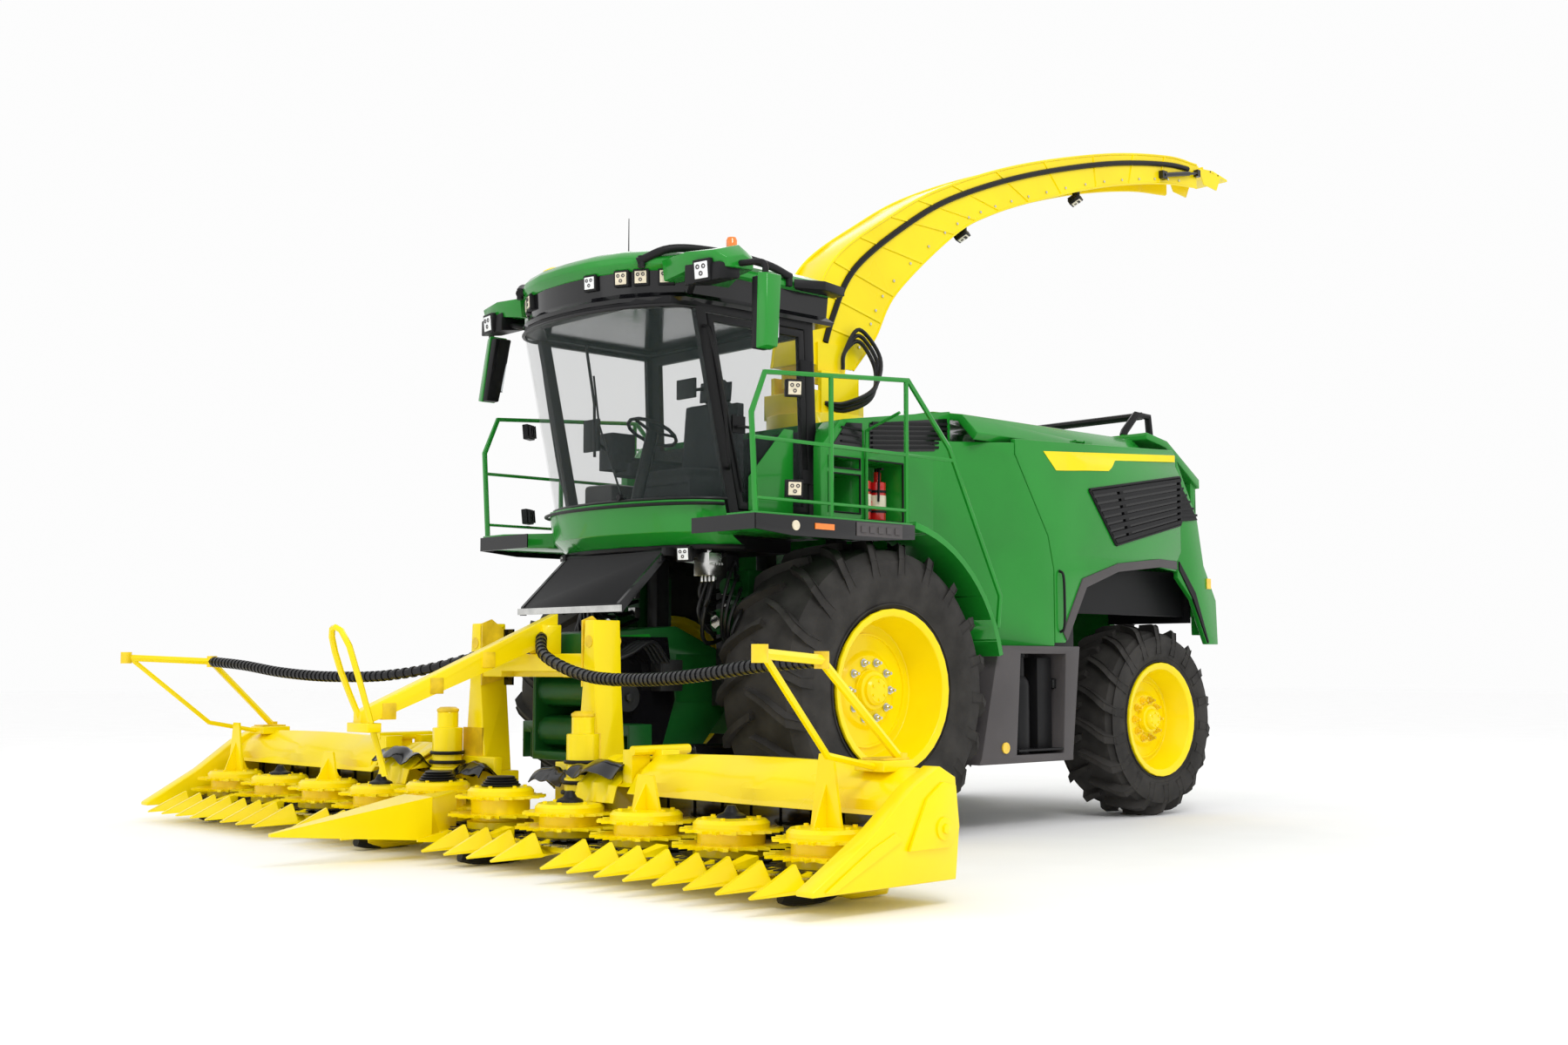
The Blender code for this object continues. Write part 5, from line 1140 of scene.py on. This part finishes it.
cushion("seat_cushion", (-0.26, -0.80, 2.58), (0.26, -0.28, 2.69), 0.03)
cushion("back_cushion", (-0.25, -0.40, 2.70), (0.25, -0.29, 3.22), -0.08)
cushion("head_cushion", (-0.14, -0.33, 3.24), (0.14, -0.25, 3.40), -0.08, 1, 0.012)
cushion("arm_cushion", (-0.47, -0.84, 2.755), (-0.32, -0.34, 2.80), 0, 1, 0.008)
bm = bmesh.new()
add_block(bm, (-0.46, -1.20, 2.82), (-0.28, -1.175, 3.06))
add_block(bm, (0.50, -1.10, 3.12), (0.70, -1.08, 3.26))
add_pipe(bm, [(-0.37, -1.17, 2.90), (-0.40, -1.00, 2.84)], 0.014)
add_pipe(bm, [(0.60, -1.08, 3.18), (0.78, -1.02, 3.18)], 0.012)
add_rod(bm, (-0.40, -0.86, 2.76), (-0.40, -0.90, 2.90), 0.020, 16)
add_rod(bm, (-0.40, -0.90, 2.88), (-0.40, -0.92, 2.97), 0.030, 16, 0.024)
round_edges(bm, 0.004)
finish_piece("screens_and_lever", bm, "black_moulding", "chassis")
bm = bmesh.new()
add_plate(bm, "Z", [(-0.85, -0.90), (-0.55, -0.86), (-0.55, -0.16), (-0.85, -0.16)], 2.205, 2.62)
round_edges(bm, 0.03)
finish_piece("side_console", bm, "grey_moulding", "chassis")

# %% [markdown]
# ## Walkways and cab skirt
# A black skirt runs below each walkway with a round lens, an amber indicator and a switch panel. Square
# work lamps sit on the handrail, and the deck has raised tread bars.

# %% Skirt, deck bars and side lamps
bm = bmesh.new()
add_plate(bm, "X", [(-1.335, 2.13), (-1.335, 2.235), (0.20, 2.235), (0.20, 2.13), (-0.3, 2.10), (-1.0, 2.10)],
          1.582, 1.598)
add_plate(bm, "Y", [(0.96, 2.13), (1.59, 2.13), (1.59, 2.235), (0.96, 2.235)], -1.345, -1.334)
mirrored(bm)
round_edges(bm, 0.004)
finish_piece("walkway_skirts", bm, "black_gloss", "chassis")
bm = bmesh.new()
for i in range(13):
    y = -1.06 + 0.095 * i
    add_block(bm, (1.02, y, 2.250), (1.52, y + 0.03, 2.257))
mirrored(bm)
finish_piece("deck_bars", bm, "cast_steel", "chassis")
bm = bmesh.new()
add_rod(bm, (1.597, -0.98, 2.17), (1.606, -0.98, 2.17), 0.034, 28)
mirrored(bm)
finish_piece("skirt_lenses", bm, "beige_lens", "chassis")
bm = bmesh.new()
add_block(bm, (1.597, -0.80, 2.155), (1.606, -0.62, 2.195))
mirrored(bm)
finish_piece("skirt_indicators", bm, "amber_lens", "chassis")
bm = bmesh.new()
add_block(bm, (1.597, -0.40, 2.13), (1.604, 0.06, 2.225))
for i in range(5):
    add_block(bm, (1.603, -0.36 + 0.085 * i, 2.155), (1.612, -0.31 + 0.085 * i, 2.20))
mirrored(bm)
finish_piece("switch_panels", bm, "grey_moulding", "chassis")
for side, sign in SIDES:
    for level, z in (("low", 2.42), ("high", 3.10)):
        work_lamp(f"rail_lamp_{level}_{side}", (sign * 1.56, -0.95, z), (sign * 0.9, -0.5, -0.1), 0.12,
                  "chassis",
                  "beige_lens")
bm = bmesh.new()
add_pipe(bm, [(1.555, -1.32, 2.34), (1.555, 0.16, 2.34)], 0.012)
add_pipe(bm, [(1.17, 0.15, 2.26), (1.17, 0.15, 2.95), (1.50, 0.15, 3.05)], 0.012)
mirrored(bm)
finish_piece("toe_rails", bm, "green_gloss", "chassis")
print("cab dressed")


# %% [markdown]
# ## Feed house, hoses and front end
# Between the wheels sits a dense group of hoses, valve blocks and brackets. A few well placed ones with
# real thickness and sag read better than many thin lines.

# %% Cover edge and nose lamps
bm = bmesh.new()
for x in (-0.58, 0.545):
    add_plate(bm, "X", [(-1.26, 2.035), (-1.655, 1.665), (-1.665, 1.60), (-1.63, 1.60), (-1.25, 1.98)], x,
              x + 0.03)
finish_piece("cover_sides", bm, "black_gloss", "cover")
bm = bmesh.new()
add_block(bm, (-0.60, -1.672, 1.605), (0.60, -1.655, 1.650))
finish_piece("cover_edge", bm, "bright_steel", "cover")
for side, sign in SIDES:
    work_lamp(f"nose_lamp_{side}", (sign * 0.70, -1.20, 2.01), (0.4 * sign, -1, -0.1), 0.11, "chassis")
bm = bmesh.new()
add_block(bm, (0.688, -1.18, 1.99), (0.712, -1.05, 2.075))
mirrored(bm)
finish_piece("nose_lamp_feet", bm, "black_moulding", "chassis")

# %% Feed house plates, drives and hoses
bm = bmesh.new()
add_plate(bm, "X", [(-1.68, 0.62), (-1.68, 1.44), (-1.20, 1.46), (-1.00, 1.20), (-1.10, 0.70)], 0.324, 0.336)
for y, z in ((-1.62, 0.70), (-1.62, 1.36), (-1.25, 1.38), (-1.20, 0.74), (-1.45, 1.05)):
    add_rod(bm, (0.336, y, z), (0.356, y, z), 0.022, 6)
mirrored(bm)
finish_piece("feed_house_plates", bm, "green_gloss", "header")
bm = bmesh.new()
add_rod(bm, (0.34, -1.45, 1.02), (0.42, -1.45, 1.02), 0.10, 28)
add_rod(bm, (0.42, -1.45, 1.02), (0.45, -1.45, 1.02), 0.035, 6)
add_block(bm, (0.34, -1.20, 1.06), (0.47, -1.00, 1.28))
mirrored(bm)
round_edges(bm, 0.008)
finish_piece("feed_house_drives", bm, "cast_steel", "header")
bm = bmesh.new()
for k in range(4):
    x = 0.40 + 0.05 * k
    add_hose(bm, [(x, -1.20, 1.26), (x + 0.05, -1.38, 1.40), (x + 0.06, -1.58, 1.32),
                  (0.50 + 0.03 * k, -1.70, 1.28)],
             0.014, 2, steps=6)
mirrored(bm)
finish_piece("feed_house_hoses", bm, "hose_rubber", "header")

# %% Valve blocks and hoses on the chassis
bm = bmesh.new()
add_block(bm, (0.50, -0.62, 1.40), (0.74, -0.30, 1.92))
add_rod(bm, (0.62, -0.80, 1.55), (0.62, -0.62, 1.55), 0.09, 24)
add_rod(bm, (0.62, -0.74, 1.80), (0.62, -0.62, 1.80), 0.06, 24)
mirrored(bm)
round_edges(bm, 0.01)
# The valve blocks take the darker green, which is painted shade.
finish_piece("valve_blocks", bm, "green_painted_shade", "chassis")
bm = bmesh.new()
for k in range(6):
    z = 1.45 + 0.07 * k
    bend = 0.06 * math.sin(2.3 * k)
    add_hose(bm, [(0.52, -0.62, z), (0.56 + bend, -0.86, z - 0.05), (0.66 - bend, -0.98, z + 0.12),
                  (0.68, -0.86, 1.99), (0.60, -0.72, 2.04)], 0.015, 2, steps=6)
mirrored(bm)
finish_piece("chassis_hoses", bm, "hose_rubber", "chassis")
bm = bmesh.new()
for z in (1.45, 1.60, 1.75):
    add_block(bm, (0.50, -0.665, z), (0.58, -0.615, z + 0.08))
add_rod(bm, (0.62, -0.83, 1.55), (0.62, -0.80, 1.55), 0.05, 6)
mirrored(bm)
finish_piece("valve_coils", bm, "bright_steel", "chassis")

# %% Dark shields, partly painted shade, pump hoses and front valves
# Black plates on both sides of the feed house: rubber flaps, also put there to darken it as painted shade.
bm = bmesh.new()
add_plate(bm, "X", [(-1.70, 0.60), (-1.70, 1.30), (-1.60, 1.44), (-1.05, 1.44), (-0.98, 1.00), (-1.10, 0.66)],
          0.348, 0.358)
add_plate(bm, "Y", [(0.50, 1.10), (0.64, 1.10), (0.64, 1.50), (0.50, 1.50)], -1.78, -1.765)
for k in range(4):
    add_rod(bm, (0.36, -1.62 + 0.13 * k, 1.36), (0.385, -1.62 + 0.13 * k, 1.36), 0.028, 16)
mirrored(bm)
round_edges(bm, 0.005)
finish_piece("feed_flaps_and_painted_shade", bm, "black_gloss", "header")
bm = bmesh.new()
for k in range(5):
    x = 0.78 + 0.035 * k
    add_hose(bm, [(0.60, -0.62 + 0.02 * k, 1.88 - 0.05 * k), (x, -0.80, 1.96 - 0.10 * k),
                  (x + 0.02, -0.92, 1.66 - 0.06 * k), (x - 0.06, -0.84, 1.42 - 0.02 * k),
                  (0.62, -0.60, 1.42 + 0.02 * k)], 0.013, 2, steps=6)
mirrored(bm)
finish_piece("pump_hoses", bm, "hose_rubber", "chassis")
bm = bmesh.new()
add_block(bm, (0.70, -1.10, 1.86), (0.86, -0.98, 2.02))
for k in range(4):
    add_rod(bm, (0.72 + 0.04 * k, -1.04, 1.82), (0.72 + 0.04 * k, -1.04, 1.86), 0.014, 6)
    add_rod(bm, (0.86, -1.08 + 0.025 * k, 1.94), (0.89, -1.08 + 0.025 * k, 1.94), 0.009, 6)
add_block(bm, (0.76, -1.06, 2.00), (0.80, -1.02, 2.07))
mirrored(bm)
round_edges(bm, 0.004)
finish_piece("front_valves", bm, "bright_steel", "chassis")
print("feed house shielded")

# %% Adapter posts, drum discs and the centre arm
bm = bmesh.new()
for z, r in ((1.40, 0.040), (0.72, 0.030), (0.60, 0.030)):
    add_rod(bm, (0.672, -1.985, z), (0.672, -1.745, z), r, 20)
add_block(bm, (0.56, -1.99, 0.42), (0.80, -1.975, 0.80))
add_plate(bm, "X", [(-1.98, 1.10), (-1.98, 1.54), (-1.90, 1.57), (-1.80, 1.50), (-1.80, 1.14)], 0.585, 0.60)
mirrored(bm)
finish_piece("adapter_fittings", bm, "yellow_worn", "header")
bm = bmesh.new()
for k in range(7):
    z, r = 0.22 + 0.065 * k, 0.16 - 0.006 * k
    add_turned(bm, [(0.10, z), (r - 0.005, z), (r, z + 0.012), (r - 0.005, z + 0.024), (0.10, z + 0.024)],
               DRUM, 32)
mirrored(bm)
finish_piece("drum_discs", bm, "black_moulding", "header")
bm = bmesh.new()
add_turned(bm, [(0, 0.905), (0.070, 0.905), (0.078, 0.915), (0.078, 0.93), (0.055, 0.945), (0, 0.947)], DRUM,
           32)
mirrored(bm)
for y, z in ((-2.35, 1.30), (-2.75, 1.13), (-3.10, 0.97)):
    add_block(bm, (-0.058, y - 0.05, z - 0.075), (0.058, y + 0.05, z + 0.03))
round_edges(bm, 0.005)
finish_piece("arm_clamps", bm, "yellow_worn", "header")
print("front end dressed")

# %% [markdown]
# ## Spout
# The discharge spout is a yellow duct with rolled edges. A black cable duct runs along its side, lamps and
# a camera hang from brackets, and a hose loop at the foot lets it turn.


# %% Edge beads and cable duct
SPOUT_HALF_W = 0.19
outer_path = smooth_path([(0.47, 3.62), (0.56, 4.06), (0.823, 4.52), (1.441, 4.955), (2.101, 5.326),
                          (3.173, 5.748),
                          (4.497, 6.124), (5.518, 6.314), (6.05, 6.335)], 8)
inner_path = smooth_path([(1.02, 3.62), (1.277, 3.92), (1.543, 4.339), (2.267, 4.947), (2.798, 5.236),
                          (3.548, 5.518),
                          (4.489, 5.813), (5.40, 6.02), (6.05, 6.10)], 8)
bm = bmesh.new()
for x in (SPOUT_HALF_W, -SPOUT_HALF_W):
    add_pipe(bm, ring("X", x, outer_path), 0.012)
    add_pipe(bm, ring("X", x, inner_path), 0.010)
finish_piece("spout_beads", bm, "yellow_gloss", "boom")


def along_spout(share, depth):
    """A (y, z) point along the spout at a share of its length, a share of the way to the inner edge."""
    last = len(outer_path) - 1
    i, part = int(share * last), share * last % 1
    outer, inner = (path[i].lerp(path[min(i + 1, last)], part) for path in (outer_path, inner_path))
    return outer.lerp(inner, depth)


bm = bmesh.new()
add_pipe(bm, ring("X", 0.197, [along_spout(0.06 + 0.90 * i / 60, 0.30) for i in range(61)]), 0.026, 3)
finish_piece("cable_duct", bm, "black_moulding", "boom")
bm = bmesh.new()
for i in range(12):
    p, q = along_spout(0.10 + 0.07 * i, 0.02), along_spout(0.10 + 0.07 * i, 0.98)
    for x in (0.192, -0.192):
        add_rod(bm, (x, *p), (x, *q), 0.009, 8)
finish_piece("spout_ribs", bm, "yellow_gloss", "boom")
bm = bmesh.new()
for i in range(24):
    p = along_spout(0.08 + 0.037 * i, 0.85)
    for x in (0.188, -0.202):
        add_rod(bm, (x, *p), (x + 0.014, *p), 0.012, 6)
finish_piece("spout_bolts", bm, "bright_steel", "boom")

# %% Lamps, camera and flap drive
for name, share in (("spout_lamp_low", 0.42), ("spout_lamp_high", 0.70)):
    p = along_spout(share, 1.0)
    work_lamp(name, (0.12, p[0] + 0.02, p[1] - 0.10), (0.5, 0.2, -0.9), 0.12, "boom", "beige_lens")
    bm = bmesh.new()
    add_block(bm, (0.09, p[0] - 0.01, p[1] - 0.10), (0.15, p[0] + 0.03, p[1] + 0.04))
    finish_piece(f"{name}_bracket", bm, "black_moulding", "boom")
bm = bmesh.new()
add_rod(bm, (0.225, 5.42, 6.10), (0.225, 5.86, 6.20), 0.024, 16)
add_rod(bm, (0.225, 5.86, 6.20), (0.225, 6.02, 6.235), 0.013, 12)
add_block(bm, (0.19, 5.38, 6.06), (0.24, 5.46, 6.14))
add_block(bm, (0.19, 6.00, 6.20), (0.24, 6.05, 6.27))
finish_piece("flap_drive", bm, "black_gloss", "boom")
bm = bmesh.new()
add_plate(bm, "X", [(5.60, 6.235), (5.66, 6.325), (5.95, 6.335), (6.02, 6.27)], 0.145, 0.16)
mirrored(bm)
finish_piece("flap_brackets", bm, "yellow_gloss", "boom")
bm = bmesh.new()
for y in (6.16, 6.30, 6.44):
    drop = 0.0875 * (y - 6.1)
    add_block(bm, (-SPOUT_HALF_W, y, 6.325 - drop), (SPOUT_HALF_W, y + 0.02, 6.342 - drop))
finish_piece("flap_ribs", bm, "yellow_gloss", "flap")

# %% Turntable bolts and hose loop
bm = bmesh.new()
for i in range(20):
    a = math.tau * i / 20
    x, y = 0.415 * math.cos(a), 0.78 + 0.415 * math.sin(a)
    add_rod(bm, (x, y, 3.05), (x, y, 3.075), 0.014, 6)
finish_piece("turntable_bolts", bm, "bright_steel", "turret")
bm = bmesh.new()
for k in range(3):
    add_hose(bm, [(0.29, 0.60, 3.30), (0.36 + 0.02 * k, 0.72, 3.24 + 0.03 * k),
                  (0.40 + 0.02 * k, 1.00, 3.36 + 0.04 * k),
                              (0.34, 1.12 + 0.03 * k, 3.62 + 0.05 * k), (0.28, 1.00, 3.84 + 0.05 * k),
                              (0.25, 0.86, 3.74), (0.25, 0.84, 3.60)], 0.017, 2, steps=8)
finish_piece("turntable_hoses", bm, "hose_rubber", "turret")
print("spout dressed")
